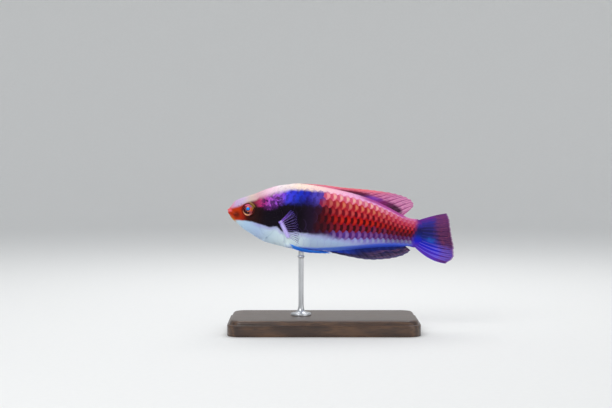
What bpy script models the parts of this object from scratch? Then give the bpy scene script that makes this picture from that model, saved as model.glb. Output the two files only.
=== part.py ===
"""A blueface fairy wrasse, life size, as a still display model on a rod and a flat base.

The fish is modelled in its own frame: X runs from the snout along the body, Y is its right side and
Z is up. An empty then carries it, pitched head up, above the base. The world's origin is the centre
of the base's underside, and the snout points along -X.
"""
import math

import bmesh
import bpy
import numpy as np
from mathutils import Matrix, Vector

MM = 0.001
GAP = 0.3 * MM
MERGE = 0.001 * MM

# Pose: the head is a little higher than the tail, and the tail sweeps to the fish's right.
HEAD_UP = math.radians(7.2)
AXIS_HEIGHT = 53.5 * MM
ROD_STATION = 34.0 * MM
ROD_FORWARD = 10.0 * MM
SWEEP_START = 42.0 * MM
SWEEP = 2.2 * MM

# Body in millimetres: distance from the snout, back height, belly depth, half width.
BODY_LENGTH = 83.6 * MM
BODY_STATIONS = (
    (0.0, 0.80, -0.80, 0.95),
    (0.8, 2.15, -2.10, 1.80),
    (2.0, 4.20, -3.40, 2.55),
    (4.0, 5.70, -4.80, 3.45),
    (7.0, 7.20, -6.90, 4.50),
    (11.0, 9.35, -9.10, 5.45),
    (16.0, 12.05, -11.30, 6.40),
    (23.0, 14.50, -12.55, 7.15),
    (32.0, 15.40, -13.40, 7.40),
    (40.0, 15.25, -12.95, 7.15),
    (48.0, 14.65, -11.60, 6.50),
    (56.0, 13.65, -9.95, 5.60),
    (64.0, 11.85, -8.25, 4.50),
    (71.0, 9.45, -6.95, 3.45),
    (76.5, 7.30, -6.05, 2.55),
    (80.0, 6.65, -5.85, 1.85),
    (83.6, 6.60, -6.20, 1.00),
)
WIDEST_LEVEL = 0.55
BACK_POWER = 1.9
BELLY_POWER = 2.1
RINGS = 54
RING_SIDES = 36
RING_CROWDING = 1.35
END_BULGE = 0.3 * MM
SLOPE_STEP = (0.2 * MM, 0.02)

# Cuts in the side view, in millimetres: (distance from the snout, height). They reach past the body.
SIDE_REACH = 20.0 * MM
SNOUT_REACH = 6.0 * MM
COVER_REACH = 30.0 * MM
GILL_MARGIN = (
    (12.0, -18.0), (14.3, -12.6), (18.2, -9.3), (21.6, -5.4), (23.5, -1.2), (24.1, 1.0),
    (22.9, 4.0), (20.8, 7.2), (18.6, 10.8), (17.2, 15.0), (16.6, 20.0),
)
CHEEK_MARGIN = (
    (22.5, 8.3), (19.0, 7.9), (16.0, 5.8), (14.3, 2.0), (14.1, -2.6), (15.3, -6.6), (17.8, -9.2),
    (21.0, -10.4),
)
COVER_INNER = 3.2 * MM
COVER_RISE = 0.3 * MM
TAIL_STEM_START = 66.0 * MM
MOUTH_TIP = -0.35 * MM
MOUTH_CORNER = (3.6 * MM, -1.9 * MM)
JAW_REAR = ((3.6, -1.9), (3.95, -3.2), (4.7, -4.9), (6.2, -7.6))
LIP_RADIUS = 0.56 * MM
LIP_SWELL = (0.35, 0.6, 0.75, 0.85, 0.92, 1.0, 1.0, 1.0)
LIP_RISE, LIP_SINK, LIP_BEND = 0.46 * MM, 0.12 * MM, 0.25 * MM

# Head details.
EYE_STATION, EYE_LEVEL = 8.65 * MM, 1.75 * MM
EYE_RADIUS, EYE_DEPTH, EYE_SINK = 2.75 * MM, 1.9 * MM, 1.0 * MM
RIM_RADIUS, RIM_THICKNESS, RIM_SINK = 2.78 * MM, 0.4 * MM, 0.08 * MM
NOSTRILS = ((4.3, 2.9), (5.4, 3.9))
NOSTRIL_RADIUS, NOSTRIL_DEPTH = 0.3 * MM, 0.5 * MM
NOSTRIL_RIM = 0.17 * MM

# Fins. Each ray runs from its place u on the root, 0 at the first ray, to a tip in millimetres.
DORSAL_ROOT = (26.5 * MM, 76.5 * MM)
DORSAL_TIPS = (
    (0.0, 29.5, 15.8), (0.1, 36.5, 16.4), (0.3, 48.0, 16.5), (0.5, 59.5, 16.9), (0.7, 70.5, 16.8),
    (0.8, 76.3, 16.1), (0.88, 80.3, 14.4), (0.94, 81.3, 12.5), (1.0, 79.6, 10.0),
)
DORSAL_RAYS = 20
DORSAL_WAVE = (0.5 * MM, 7.0, 0.0)
ANAL_ROOT = (45.0 * MM, 78.5 * MM)
ANAL_TIPS = (
    (0.0, 48.0, -12.95), (0.2, 56.5, -13.75), (0.4, 64.5, -13.95), (0.6, 72.0, -12.75),
    (0.8, 78.6, -10.6), (0.92, 81.5, -8.7), (1.0, 82.3, -7.5),
)
ANAL_RAYS = 12
ANAL_WAVE = (0.4 * MM, 6.0, 1.0)
CAUDAL_ROOT = (5.9, -5.6)
CAUDAL_TIPS = (
    (0.0, 94.8, 10.5), (0.15, 96.7, 8.1), (0.3, 97.8, 4.7), (0.5, 99.8, -0.4), (0.7, 100.9, -5.0),
    (0.88, 101.2, -8.9), (1.0, 98.6, -11.6),
)
CAUDAL_RAYS = 13
CAUDAL_BOW = (0.5 * MM, -1.6 * MM)
CAUDAL_CURL = 5.6 * MM
PECTORAL_ROOT = ((24.3, -1.6), (27.1, -7.0))
PECTORAL_RAYS = 13
PECTORAL_LENGTHS = ((0.0, 11.4), (0.15, 11.9), (0.4, 9.8), (0.7, 8.0), (1.0, 6.2))
PECTORAL_RISE = (37.0, -24.0)
PECTORAL_SPREAD = (46.0, 32.0)
PECTORAL_DROOP = 0.12
PELVIC_ROOT = ((28.6, 1.9), (27.4, 3.9))
PELVIC_TIPS = ((0.0, 38.0, 1.8, -14.3), (0.5, 43.0, 2.5, -14.1), (1.0, 46.6, 3.2, -13.6))
PELVIC_RAYS = 6
PELVIC_KNEE = (3.2 * MM, -14.0 * MM, 0.5 * MM)
ROOT_DEPTH = 1.0 * MM
RAY_THICKNESS = 0.95 * MM
MEMBRANE_SHARE = 0.56
TIP_SHARE = 0.5
RIDGE_FOOT = 0.24

# Stand.
BASE_SIZE = (84.0 * MM, 44.0 * MM, 7.0 * MM)
BASE_CORNER, BASE_EDGE = 6.0 * MM, 1.0 * MM
ROD_RADIUS, FOOT_RADIUS, FOOT_HEIGHT = 1.15 * MM, 4.5 * MM, 1.2 * MM
FOOT_SLOPE, FOOT_EDGE = 1.6 * MM, 0.2 * MM
ROD_SPARE = 5.0 * MM
ROD_SIDES = 24

COLOURS = {
    "snout": (0.86, 0.20, 0.06), "flank": (0.62, 0.06, 0.07), "cheek": (0.17, 0.05, 0.11),
    "tail": (0.10, 0.08, 0.50), "fin": (0.62, 0.22, 0.42), "blue fin": (0.05, 0.11, 0.55),
    "pale fin": (0.50, 0.35, 0.72), "iris": (0.70, 0.16, 0.05), "wood": (0.13, 0.07, 0.04),
    "steel": (0.62, 0.62, 0.64),
}


def clear_scene():
    for old in list(bpy.data.objects):
        bpy.data.objects.remove(old)


def collection_named(name):
    made = bpy.data.collections.new(name)
    bpy.context.scene.collection.children.link(made)
    return made


def material(name, roughness=0.45, metallic=0.0):
    """The named colour as a Principled material, made once."""
    found = bpy.data.materials.get(name)
    if found:
        return found
    made = bpy.data.materials.new(name)
    made.use_nodes = True
    shader = made.node_tree.nodes["Principled BSDF"]
    shader.inputs["Base Color"].default_value = (*COLOURS[name], 1.0)
    shader.inputs["Roughness"].default_value = roughness
    shader.inputs["Metallic"].default_value = metallic
    return made


def face_out(bm):
    """Turns the faces of a closed surface outward."""
    bmesh.ops.recalc_face_normals(bm, faces=bm.faces)
    if bm.calc_volume(signed=True) < 0:
        bmesh.ops.reverse_faces(bm, faces=bm.faces)


def object_from(bm, name, finish=None, parent=None):
    """Makes an object of a bmesh. With a finish it is a piece of the model, and without one a cutter."""
    mesh = bpy.data.meshes.new(name)
    bm.to_mesh(mesh)
    bm.free()
    made = bpy.data.objects.new(name, mesh)
    made.parent = parent
    if finish is None:
        bpy.data.collections["cutters"].objects.link(made)
        made.hide_render = True
        made.display_type = "WIRE"
        return made
    bpy.data.collections["wrasse"].objects.link(made)
    mesh.materials.append(finish)
    return made


def finish_mesh(obj, sharp_degrees=35.0):
    obj.data.shade_smooth()
    obj.data.set_sharp_from_angle(angle=math.radians(sharp_degrees))
    return obj


def evaluated_mesh(obj):
    bpy.context.view_layer.update()
    graph = bpy.context.evaluated_depsgraph_get()
    return bpy.data.meshes.new_from_object(obj.evaluated_get(graph))


def combine(target, other, operation):
    """Applies one Boolean to target, UNION, DIFFERENCE or INTERSECT, and uses up the other object."""
    step = target.modifiers.new(operation, "BOOLEAN")
    step.operation = operation
    step.object = other
    target.data = evaluated_mesh(target)
    target.modifiers.clear()
    bpy.data.objects.remove(other)
    return target


def keep_largest(obj):
    """Drops loose scraps, so that the piece is one closed surface."""
    bm = bmesh.new()
    bm.from_mesh(obj.data)
    bm.verts.ensure_lookup_table()
    left = set(bm.verts)
    islands = []
    while left:
        island, front = set(), [left.pop()]
        while front:
            vertex = front.pop()
            island.add(vertex)
            near = {edge.other_vert(vertex) for edge in vertex.link_edges} & left
            left -= near
            front.extend(near)
        islands.append(island)
    islands.sort(key=len)
    for scrap in islands[:-1]:
        bmesh.ops.delete(bm, geom=list(scrap), context="VERTS")
    bm.to_mesh(obj.data)
    bm.free()
    return obj


def smooth(table, column, at):
    """Reads one column of a table at a place between its rows, on a smooth curve."""
    xs = np.array([row[0] for row in table], float)
    ys = np.array([row[column] for row in table], float)
    slopes = np.gradient(ys, xs)
    at = min(max(at, xs[0]), xs[-1])
    i = int(np.clip(np.searchsorted(xs, at) - 1, 0, len(xs) - 2))
    width = xs[i + 1] - xs[i]
    t = (at - xs[i]) / width
    start = (1 + 2 * t) * (1 - t) ** 2 * ys[i] + t * (1 - t) ** 2 * width * slopes[i]
    end = t * t * (3 - 2 * t) * ys[i + 1] + t * t * (t - 1) * width * slopes[i + 1]
    return float(start + end)


def blend(pair, u):
    return pair[0] + (pair[1] - pair[0]) * u


def sweep(station):
    """How far the body's middle line has swung to the fish's right."""
    share = max(0.0, station - SWEEP_START) / (BODY_LENGTH - SWEEP_START)
    return SWEEP * share * share


def section(station, grow=0.0):
    """Back height, belly depth, half width and widest level of the body at a station."""
    top, bottom, half = (smooth(BODY_STATIONS, column, station / MM) * MM for column in (1, 2, 3))
    middle = bottom + (top - bottom) * WIDEST_LEVEL
    return top + grow, bottom - grow, half + grow, middle


def skin_point(station, angle, grow=0.0):
    """A point of the body's surface. Angle 0 is the back, 90 degrees the right flank, 180 the belly."""
    top, bottom, half, middle = section(station, grow)
    rise, side = math.cos(angle), math.sin(angle)
    power, reach = (BACK_POWER, top - middle) if rise > 0 else (BELLY_POWER, middle - bottom)
    height = middle + math.copysign(abs(rise) ** (2 / power), rise) * reach
    across = math.copysign(abs(side) ** (2 / power), side) * half
    return Vector((station, sweep(station) + across, height))


def angle_at(station, height):
    """The angle on the right flank at which the body's surface has this height."""
    top, bottom, _, middle = section(station)
    if height > middle:
        return math.acos(min(1.0, (height - middle) / (top - middle)) ** (BACK_POWER / 2))
    return math.pi - math.acos(min(1.0, (middle - height) / (middle - bottom)) ** (BELLY_POWER / 2))


def flank_point(station, height, side=1, grow=0.0):
    """A point of the right (side 1) or left (side -1) flank at a height."""
    return skin_point(station, side * angle_at(station, height), grow)


def flank_normal(station, height, side=1):
    """The outward direction of the flank there, from points a small step and a small turn away."""
    angle = side * angle_at(station, height)
    step, turn = SLOPE_STEP
    along = skin_point(station + step, angle) - skin_point(station - step, angle)
    around = skin_point(station, angle + turn) - skin_point(station, angle - turn)
    normal = along.cross(around).normalized()
    return normal if normal.y * side > 0 else -normal


def body_loft(name, finish, parent, grow=0.0):
    """The whole body, as a sphere whose rings are laid along the stations."""
    bm = bmesh.new()
    bmesh.ops.create_uvsphere(bm, u_segments=RING_SIDES, v_segments=RINGS, radius=1.0)
    for vertex in bm.verts:
        ring = round(math.acos(max(-1.0, min(1.0, vertex.co.z))) / math.pi * RINGS)
        angle = math.atan2(vertex.co.y, vertex.co.x)
        if ring in (0, RINGS):
            station = 0.0 if ring == 0 else BODY_LENGTH
            top, bottom, _, _ = section(station)
            out = (END_BULGE + grow) * (-1 if ring == 0 else 1)
            vertex.co = (station + out, sweep(station), (top + bottom) / 2)
            continue
        share = ((ring - 1) / (RINGS - 2)) ** RING_CROWDING
        station = BODY_LENGTH * share
        vertex.co = skin_point(station, angle, grow)
        vertex.co.x += grow * (2 * share - 1)
    face_out(bm)
    return object_from(bm, name, finish, parent)


def grown_outline(points, grow):
    """The outline with each point moved outward by grow."""
    flat = [Vector(p) for p in points]
    area = sum(a.x * b.y - b.x * a.y for a, b in zip(flat, flat[1:] + flat[:1]))
    turn = 1 if area > 0 else -1
    moved = []
    for before, here, after in zip(flat[-1:] + flat[:-1], flat, flat[1:] + flat[:1]):
        first, second = (here - before).normalized(), (after - here).normalized()
        normals = [Vector((d.y, -d.x)) * turn for d in (first, second)]
        middle = (normals[0] + normals[1]).normalized()
        moved.append(here + middle * grow / max(0.4, middle.dot(normals[0])))
    return moved


def mesh_of_curve(curve):
    """The curve as one closed surface, its caps welded on."""
    carrier = bpy.data.objects.new(curve.name, curve)
    bpy.data.collections["cutters"].objects.link(carrier)
    bm = bmesh.new()
    bm.from_mesh(evaluated_mesh(carrier))
    bmesh.ops.remove_doubles(bm, verts=bm.verts, dist=MERGE)
    face_out(bm)
    bpy.data.objects.remove(carrier)
    return bm


def slab(outline, parent, grow, inner=0.0, side=0):
    """A side-view outline, in metres, as a block right across the body, or on one side of it only,
    from inner outward."""
    ends = (inner * side, SIDE_REACH * side) if side else (-SIDE_REACH, SIDE_REACH)
    low, high = sorted(ends)
    flat = bpy.data.curves.new("slab", "CURVE")
    flat.dimensions = "2D"
    flat.fill_mode = "BOTH"
    flat.extrude = (high - low) / 2
    points = grown_outline(outline, grow)
    spline = flat.splines.new("POLY")
    spline.points.add(len(points) - 1)
    for point, (x, z) in zip(spline.points, points):
        point.co = (x, z, 0.0, 1.0)
    spline.use_cyclic_u = True
    bm = mesh_of_curve(flat)
    bm.transform(Matrix.Translation((0, (low + high) / 2, 0)) @ Matrix.Rotation(math.pi / 2, 4, "X"))
    return object_from(bm, "slab", parent=parent)


def smooth_line(points, steps=3):
    """A smooth line, in metres, through side-view points in millimetres."""
    table = [(i, *point) for i, point in enumerate(points)]
    places = np.linspace(0, len(points) - 1, (len(points) - 1) * steps + 1)
    return [(smooth(table, 1, p) * MM, smooth(table, 2, p) * MM) for p in places]


def head_outline():
    """All that lies before the gill opening and the nape."""
    line = smooth_line(GILL_MARGIN)
    return [(-SNOUT_REACH, line[-1][1]), (-SNOUT_REACH, line[0][1])] + line


def cover_outline():
    """The gill cover's front edge, and a field behind it that the gill opening cuts short."""
    front = smooth_line(CHEEK_MARGIN)
    return front + [(COVER_REACH, front[-1][1]), (COVER_REACH, front[0][1])]


def jaw_outline():
    """All that lies under the line of the mouth and before the throat."""
    rear = smooth_line(JAW_REAR)
    return [(-SNOUT_REACH, mouth_level(-SNOUT_REACH))] + rear + [(-SNOUT_REACH, rear[-1][1])]


def mouth_level(station):
    """The height of the line of the mouth."""
    return MOUTH_TIP + (MOUTH_CORNER[1] - MOUTH_TIP) / MOUTH_CORNER[0] * station


def tube(name, points, radii, parent):
    """A bevelled curve through the points, made a closed mesh."""
    path = bpy.data.curves.new(name, "CURVE")
    path.dimensions = "3D"
    path.bevel_depth = 1.0
    path.bevel_resolution = 2
    path.use_fill_caps = True
    spline = path.splines.new("POLY")
    spline.points.add(len(points) - 1)
    for point, place, radius in zip(spline.points, points, radii):
        point.co = (*place, 1.0)
        point.radius = radius
    return object_from(mesh_of_curve(path), name, parent=parent)


def lip(name, rise, parent):
    """A fold round the mouth from one corner to the other, rise above the line of the mouth."""
    stations = np.linspace(MOUTH_CORNER[0], LIP_BEND, len(LIP_SWELL))
    heights = [mouth_level(station) + rise for station in stations]
    right = [flank_point(s, h, 1, -LIP_SINK) for s, h in zip(stations, heights)]
    left = [flank_point(s, h, -1, -LIP_SINK) for s, h in zip(stations, heights)]
    front = Vector((-LIP_SINK, 0.0, MOUTH_TIP + rise))
    radii = [LIP_RADIUS * share for share in (*LIP_SWELL, 1.0, *LIP_SWELL[::-1])]
    return tube(name, right + [front] + left[::-1], radii, parent)


def turned_to(direction):
    return direction.to_track_quat("Z", "Y").to_matrix().to_4x4()


def eye_place(side):
    """Where an eye looks out: its point on the head and its outward direction."""
    return flank_point(EYE_STATION, EYE_LEVEL, side), flank_normal(EYE_STATION, EYE_LEVEL, side)


def eyeball(name, side, finish, parent, grow=0.0):
    """A flattened ball sunk in the head."""
    point, outward = eye_place(side)
    bm = bmesh.new()
    bmesh.ops.create_uvsphere(bm, u_segments=20, v_segments=12, radius=1.0)
    sizes = (EYE_RADIUS + grow, EYE_RADIUS + grow, EYE_DEPTH + grow)
    place = Matrix.Translation(point - outward * EYE_SINK) @ turned_to(outward)
    bm.transform(place @ Matrix.Diagonal((*sizes, 1.0)))
    return object_from(bm, name, finish, parent)


def ring(name, point, outward, radius, thickness, sides, parent):
    """A fleshy ring lying on the skin."""
    bpy.ops.mesh.primitive_torus_add(
        major_radius=radius, minor_radius=thickness, major_segments=sides, minor_segments=8
    )
    carrier = bpy.context.object
    bm = bmesh.new()
    bm.from_mesh(carrier.data)
    bpy.data.objects.remove(carrier)
    bm.transform(Matrix.Translation(point) @ turned_to(outward))
    return object_from(bm, name, parent=parent)


def eye_rim(side, parent):
    """The fold of skin round an eye."""
    point, outward = eye_place(side)
    return ring("rim", point - outward * RIM_SINK, outward, RIM_RADIUS, RIM_THICKNESS, 28, parent)


def nostril_places():
    """Each nostril's point on the skin and the direction in which it opens."""
    for side in (-1, 1):
        for station, height in NOSTRILS:
            place = (station * MM, height * MM, side)
            yield flank_point(*place), flank_normal(*place)


def nostril_pit(point, outward, parent):
    bm = bmesh.new()
    bmesh.ops.create_cone(
        bm, cap_ends=True, segments=10, radius1=NOSTRIL_RADIUS, radius2=NOSTRIL_RADIUS,
        depth=2 * NOSTRIL_DEPTH,
    )
    bm.transform(Matrix.Translation(point) @ turned_to(outward))
    return object_from(bm, "nostril", parent=parent)


def make_head(fish):
    """The skull, with its upper lip, eye rims, sockets and nostrils, and beds for the gill covers."""
    head = body_loft("head", material("snout"), fish)
    combine(head, lip("upper lip", LIP_RISE, fish), "UNION")
    for point, outward in nostril_places():
        rim = ring("rim", point, outward, NOSTRIL_RADIUS + NOSTRIL_RIM / 2, NOSTRIL_RIM, 10, fish)
        combine(head, rim, "UNION")
    for side in (-1, 1):
        combine(head, eye_rim(side, fish), "UNION")
    combine(head, slab(head_outline(), fish, -GAP / 2), "INTERSECT")
    combine(head, slab(jaw_outline(), fish, GAP / 2), "DIFFERENCE")
    for side in (-1, 1):
        bed = slab(cover_outline(), fish, GAP / 2, COVER_INNER - GAP / 2, side)
        combine(head, bed, "DIFFERENCE")
        combine(head, eyeball("socket", side, None, fish, GAP), "DIFFERENCE")
    for point, outward in nostril_places():
        combine(head, nostril_pit(point, outward, fish), "DIFFERENCE")
    return finish_mesh(keep_largest(head))


def make_jaw(fish):
    """The lower jaw, with its lip."""
    jaw = body_loft("jaw", material("snout"), fish)
    combine(jaw, lip("lower lip", -LIP_RISE, fish), "UNION")
    combine(jaw, slab(jaw_outline(), fish, -GAP / 2), "INTERSECT")
    return finish_mesh(keep_largest(jaw))


def make_gill_cover(name, side, fish):
    """A plate that stands a little proud of the cheek and the trunk."""
    cover = body_loft(name, material("cheek"), fish, COVER_RISE)
    plate = slab(cover_outline(), fish, -GAP / 2, COVER_INNER + GAP / 2, side)
    combine(cover, plate, "INTERSECT")
    combine(cover, slab(head_outline(), fish, -GAP / 2), "INTERSECT")
    return finish_mesh(keep_largest(cover))


def tail_stem_outline():
    """All that lies behind the start of the tail stem."""
    rear, reach = 1.2 * BODY_LENGTH, 1.2 * SIDE_REACH
    return [(TAIL_STEM_START, reach), (TAIL_STEM_START, -reach), (rear, -reach), (rear, reach)]


def make_trunk(fish):
    """The body from the gill opening to the tail stem."""
    trunk = body_loft("trunk", material("flank"), fish)
    combine(trunk, slab(head_outline(), fish, GAP / 2), "DIFFERENCE")
    combine(trunk, slab(tail_stem_outline(), fish, GAP / 2), "DIFFERENCE")
    return finish_mesh(keep_largest(trunk))


def make_tail_stem(fish):
    """The narrow stretch that carries the tail fin."""
    stem = body_loft("tail_stem", material("flank"), fish)
    combine(stem, slab(tail_stem_outline(), fish, -GAP / 2), "INTERSECT")
    return finish_mesh(keep_largest(stem))


def ray_columns(rays):
    """Where the sheet's columns lie, counted in rays: each ray's crest and the feet of its ridge."""
    columns = []
    for ray in range(rays - 1):
        columns += [ray, ray + RIDGE_FOOT, ray + 1 - RIDGE_FOOT]
    return columns + [rays - 1]


def fin(name, finish, fish, rays, rows, place):
    """A thin sheet whose rays stand out as ridges. place(u, v) is a point: u across the rays, v out
    along them. Solidify thickens it, by more at a ray than between two, and less at the tips."""
    columns = ray_columns(rays)
    bm = bmesh.new()
    bmesh.ops.create_grid(bm, x_segments=len(columns) - 1, y_segments=rows - 1, size=1.0)
    shares = []
    for vertex in bm.verts:
        column = round((vertex.co.x + 1) / 2 * (len(columns) - 1))
        v = (vertex.co.y + 1) / 2
        ridge = 1.0 if columns[column] == int(columns[column]) else MEMBRANE_SHARE
        taper = 1.0 - (1.0 - TIP_SHARE) * v ** 3
        shares.append(max(ridge * taper, min(MEMBRANE_SHARE, taper) * 0.95))
        vertex.co = place(columns[column] / (rays - 1), v)
    bmesh.ops.triangulate(bm, faces=bm.faces, quad_method="FIXED")
    made = object_from(bm, name, finish, fish)
    weights = made.vertex_groups.new(name="thickness")
    for index, share in enumerate(shares):
        weights.add([index], share, "REPLACE")
    thicken = made.modifiers.new("thickness", "SOLIDIFY")
    thicken.thickness = RAY_THICKNESS
    thicken.offset = 0.0
    thicken.vertex_group = weights.name
    return made


def fixed_fin(obj):
    """Applies the thickness, so that a cut can follow."""
    obj.data = evaluated_mesh(obj)
    obj.modifiers.clear()
    return obj


def wave(shape, u):
    """How far a fin's edge waves to the side, from its reach, its turn along the fin and its start."""
    reach, turn, start = shape
    return reach * math.sin(turn * u + start)


def make_dorsal_fin(fish):
    """Low and folded back over the spines, higher in the soft rear lobe."""

    def place(u, v):
        station = blend(DORSAL_ROOT, u)
        root = Vector((station, sweep(station), section(station)[0] + GAP))
        x, z = (smooth(DORSAL_TIPS, column, u) * MM for column in (1, 2))
        return root.lerp(Vector((x, sweep(x) + wave(DORSAL_WAVE, u) * u, z)), v)

    return finish_mesh(fin("dorsal_fin", material("fin"), fish, DORSAL_RAYS, 6, place))


def make_anal_fin(fish):
    """Under the rear belly, half folded."""

    def place(u, v):
        station = blend(ANAL_ROOT, u)
        root = Vector((station, sweep(station), section(station)[1] - GAP))
        x, z = (smooth(ANAL_TIPS, column, u) * MM for column in (1, 2))
        return root.lerp(Vector((x, sweep(x) + wave(ANAL_WAVE, u), z)), v)

    return finish_mesh(fin("anal_fin", material("blue fin"), fish, ANAL_RAYS, 6, place))


def make_caudal_fin(fish):
    """A fan whose upper rays curl away to the fish's right, so that they look shorter from its left."""
    start = BODY_LENGTH + END_BULGE + GAP

    def place(u, v):
        root = Vector((start, sweep(BODY_LENGTH), blend(CAUDAL_ROOT, u) * MM))
        x, z = (smooth(CAUDAL_TIPS, column, u) * MM for column in (1, 2))
        point = root.lerp(Vector((x, 0.0, z)), v)
        curl = CAUDAL_CURL * (1 - u) ** 1.5 * v ** 1.7
        point.y = sweep(start) + (point.x - start) * 2 * SWEEP / (BODY_LENGTH - SWEEP_START) + curl
        point.z += blend(CAUDAL_BOW, u) * 4 * v * (1 - v)
        return point

    return finish_mesh(fin("caudal_fin", material("tail"), fish, CAUDAL_RAYS, 7, place))


def trim_root(obj, fish):
    """Cuts a fin's sunk root back to the skin, leaving the gap."""
    return keep_largest(combine(obj, body_loft("trim", None, fish, GAP), "DIFFERENCE"))


def make_pectoral_fin(name, side, fish):
    """A fan on the flank, held out and back."""
    upper, lower = (Vector(point) * MM for point in PECTORAL_ROOT)

    def place(u, v):
        station, height = upper.lerp(lower, u)
        outward = flank_normal(station, height, side)
        rise, spread = (math.radians(blend(pair, u)) for pair in (PECTORAL_RISE, PECTORAL_SPREAD))
        along = Vector((math.cos(rise), 0.0, math.sin(rise)))
        ray = along * math.cos(spread) + outward * math.sin(spread)
        length = smooth(PECTORAL_LENGTHS, 1, u) * MM
        root = flank_point(station, height, side) - ray * ROOT_DEPTH
        droop = Vector((0.0, -side, 0.0)) * PECTORAL_DROOP * length * v * v
        return root + ray * (ROOT_DEPTH + length) * v + droop

    made = fixed_fin(fin(name, material("pale fin"), fish, PECTORAL_RAYS, 6, place))
    return finish_mesh(trim_root(made, fish))


def make_pelvic_fin(name, side, fish):
    """A narrow fin folded back under the belly."""
    inner, outer = (Vector(point) * MM for point in PELVIC_ROOT)
    back, level, tilt = PELVIC_KNEE

    def place(u, v):
        station, across = inner.lerp(outer, u)
        _, bottom, half, middle = section(station)
        share = (1 - (across / half) ** BELLY_POWER) ** (1 / BELLY_POWER)
        root = Vector((station, side * across, middle - (middle - bottom) * share + ROOT_DEPTH))
        x, y, z = (smooth(PELVIC_TIPS, column, u) * MM for column in (1, 2, 3))
        knee = Vector((station + back, side * across, level + tilt * u))
        tip = Vector((x, side * y, z))
        return root.lerp(knee, v).lerp(knee.lerp(tip, v), v)

    made = fixed_fin(fin(name, material("blue fin"), fish, PELVIC_RAYS, 8, place))
    return finish_mesh(trim_root(made, fish))


def make_base():
    """A flat block with round corners and a bevelled top edge."""
    bm = bmesh.new()
    bmesh.ops.create_cube(bm, size=1.0)
    bmesh.ops.scale(bm, vec=BASE_SIZE, verts=bm.verts)
    bmesh.ops.translate(bm, vec=(0, 0, BASE_SIZE[2] / 2), verts=bm.verts)
    upright = [e for e in bm.edges if abs(e.verts[0].co.z - e.verts[1].co.z) > BASE_SIZE[2] / 2]
    bmesh.ops.bevel(
        bm, geom=upright, offset=BASE_CORNER, segments=8, profile=0.5, affect="EDGES"
    )
    top = [e for e in bm.edges if min(v.co.z for v in e.verts) > BASE_SIZE[2] * 0.9]
    bmesh.ops.bevel(bm, geom=top, offset=BASE_EDGE, segments=3, profile=0.5, affect="EDGES")
    return finish_mesh(object_from(bm, "stand_base", material("wood", 0.35)))


def make_rod(fish):
    """A turned rod with a flared foot. It rises to the belly and is cut to fit under it."""
    floor = BASE_SIZE[2] + GAP
    top = AXIS_HEIGHT - ROD_SPARE
    profile = [
        (0.0, top), (ROD_RADIUS, top), (ROD_RADIUS, floor + FOOT_HEIGHT + FOOT_SLOPE),
        (ROD_RADIUS + 0.35 * FOOT_SLOPE, floor + FOOT_HEIGHT + 0.35 * FOOT_SLOPE),
        (FOOT_RADIUS - FOOT_EDGE, floor + FOOT_HEIGHT), (FOOT_RADIUS, floor + FOOT_HEIGHT - FOOT_EDGE),
        (FOOT_RADIUS, floor), (0.0, floor),
    ]
    bm = bmesh.new()
    corners = [bm.verts.new((radius, 0.0, height)) for radius, height in profile]
    for first, second in zip(corners, corners[1:]):
        bm.edges.new((first, second))
    rod = object_from(bm, "stand_rod", material("steel", 0.25, 1.0))
    rod.location.x = -ROD_FORWARD
    turn = rod.modifiers.new("turn", "SCREW")
    turn.steps = turn.render_steps = ROD_SIDES
    turn.use_merge_vertices = True
    turn.merge_threshold = 0.01 * MM
    rod.data = evaluated_mesh(rod)
    rod.modifiers.clear()
    return finish_mesh(trim_root(rod, fish))


def place_fish():
    """The empty that carries the fish. The rod's station lies over the rod."""
    fish = bpy.data.objects.new("fish", None)
    bpy.data.collections["wrasse"].objects.link(fish)
    fish.rotation_euler.y = HEAD_UP
    over_rod = fish.rotation_euler.to_matrix() @ Vector((ROD_STATION, 0.0, section(ROD_STATION)[1]))
    fish.location = (-ROD_FORWARD - over_rod.x, 0.0, AXIS_HEIGHT)
    return fish


def main():
    clear_scene()
    collection_named("wrasse")
    collection_named("cutters")
    fish = place_fish()
    make_head(fish)
    make_jaw(fish)
    make_trunk(fish)
    make_tail_stem(fish)
    make_dorsal_fin(fish)
    make_anal_fin(fish)
    make_caudal_fin(fish)
    for side, word in ((-1, "left"), (1, "right")):
        make_gill_cover(f"gill_cover_{word}", side, fish)
        finish_mesh(eyeball(f"eye_{word}", side, material("iris", 0.15), fish))
        make_pectoral_fin(f"pectoral_fin_{word}", side, fish)
        make_pelvic_fin(f"pelvic_fin_{word}", side, fish)
    make_base()
    make_rod(fish)


main()
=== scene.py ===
# %% [markdown]
# # A blueface fairy wrasse, life size, on a display stand
#
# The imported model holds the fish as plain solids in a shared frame. This lesson dresses it: one
# skin over head and body, a coat of scales, rayed fins, glassy eyes, and a turned stand. Lengths
# are in millimetres in the fish's own frame until a mesh is made, because that is how a fish is
# measured: along from the snout, to its right, and up from its axis.

import math

import bpy
import numpy as np
from mathutils import Matrix, Vector


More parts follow.
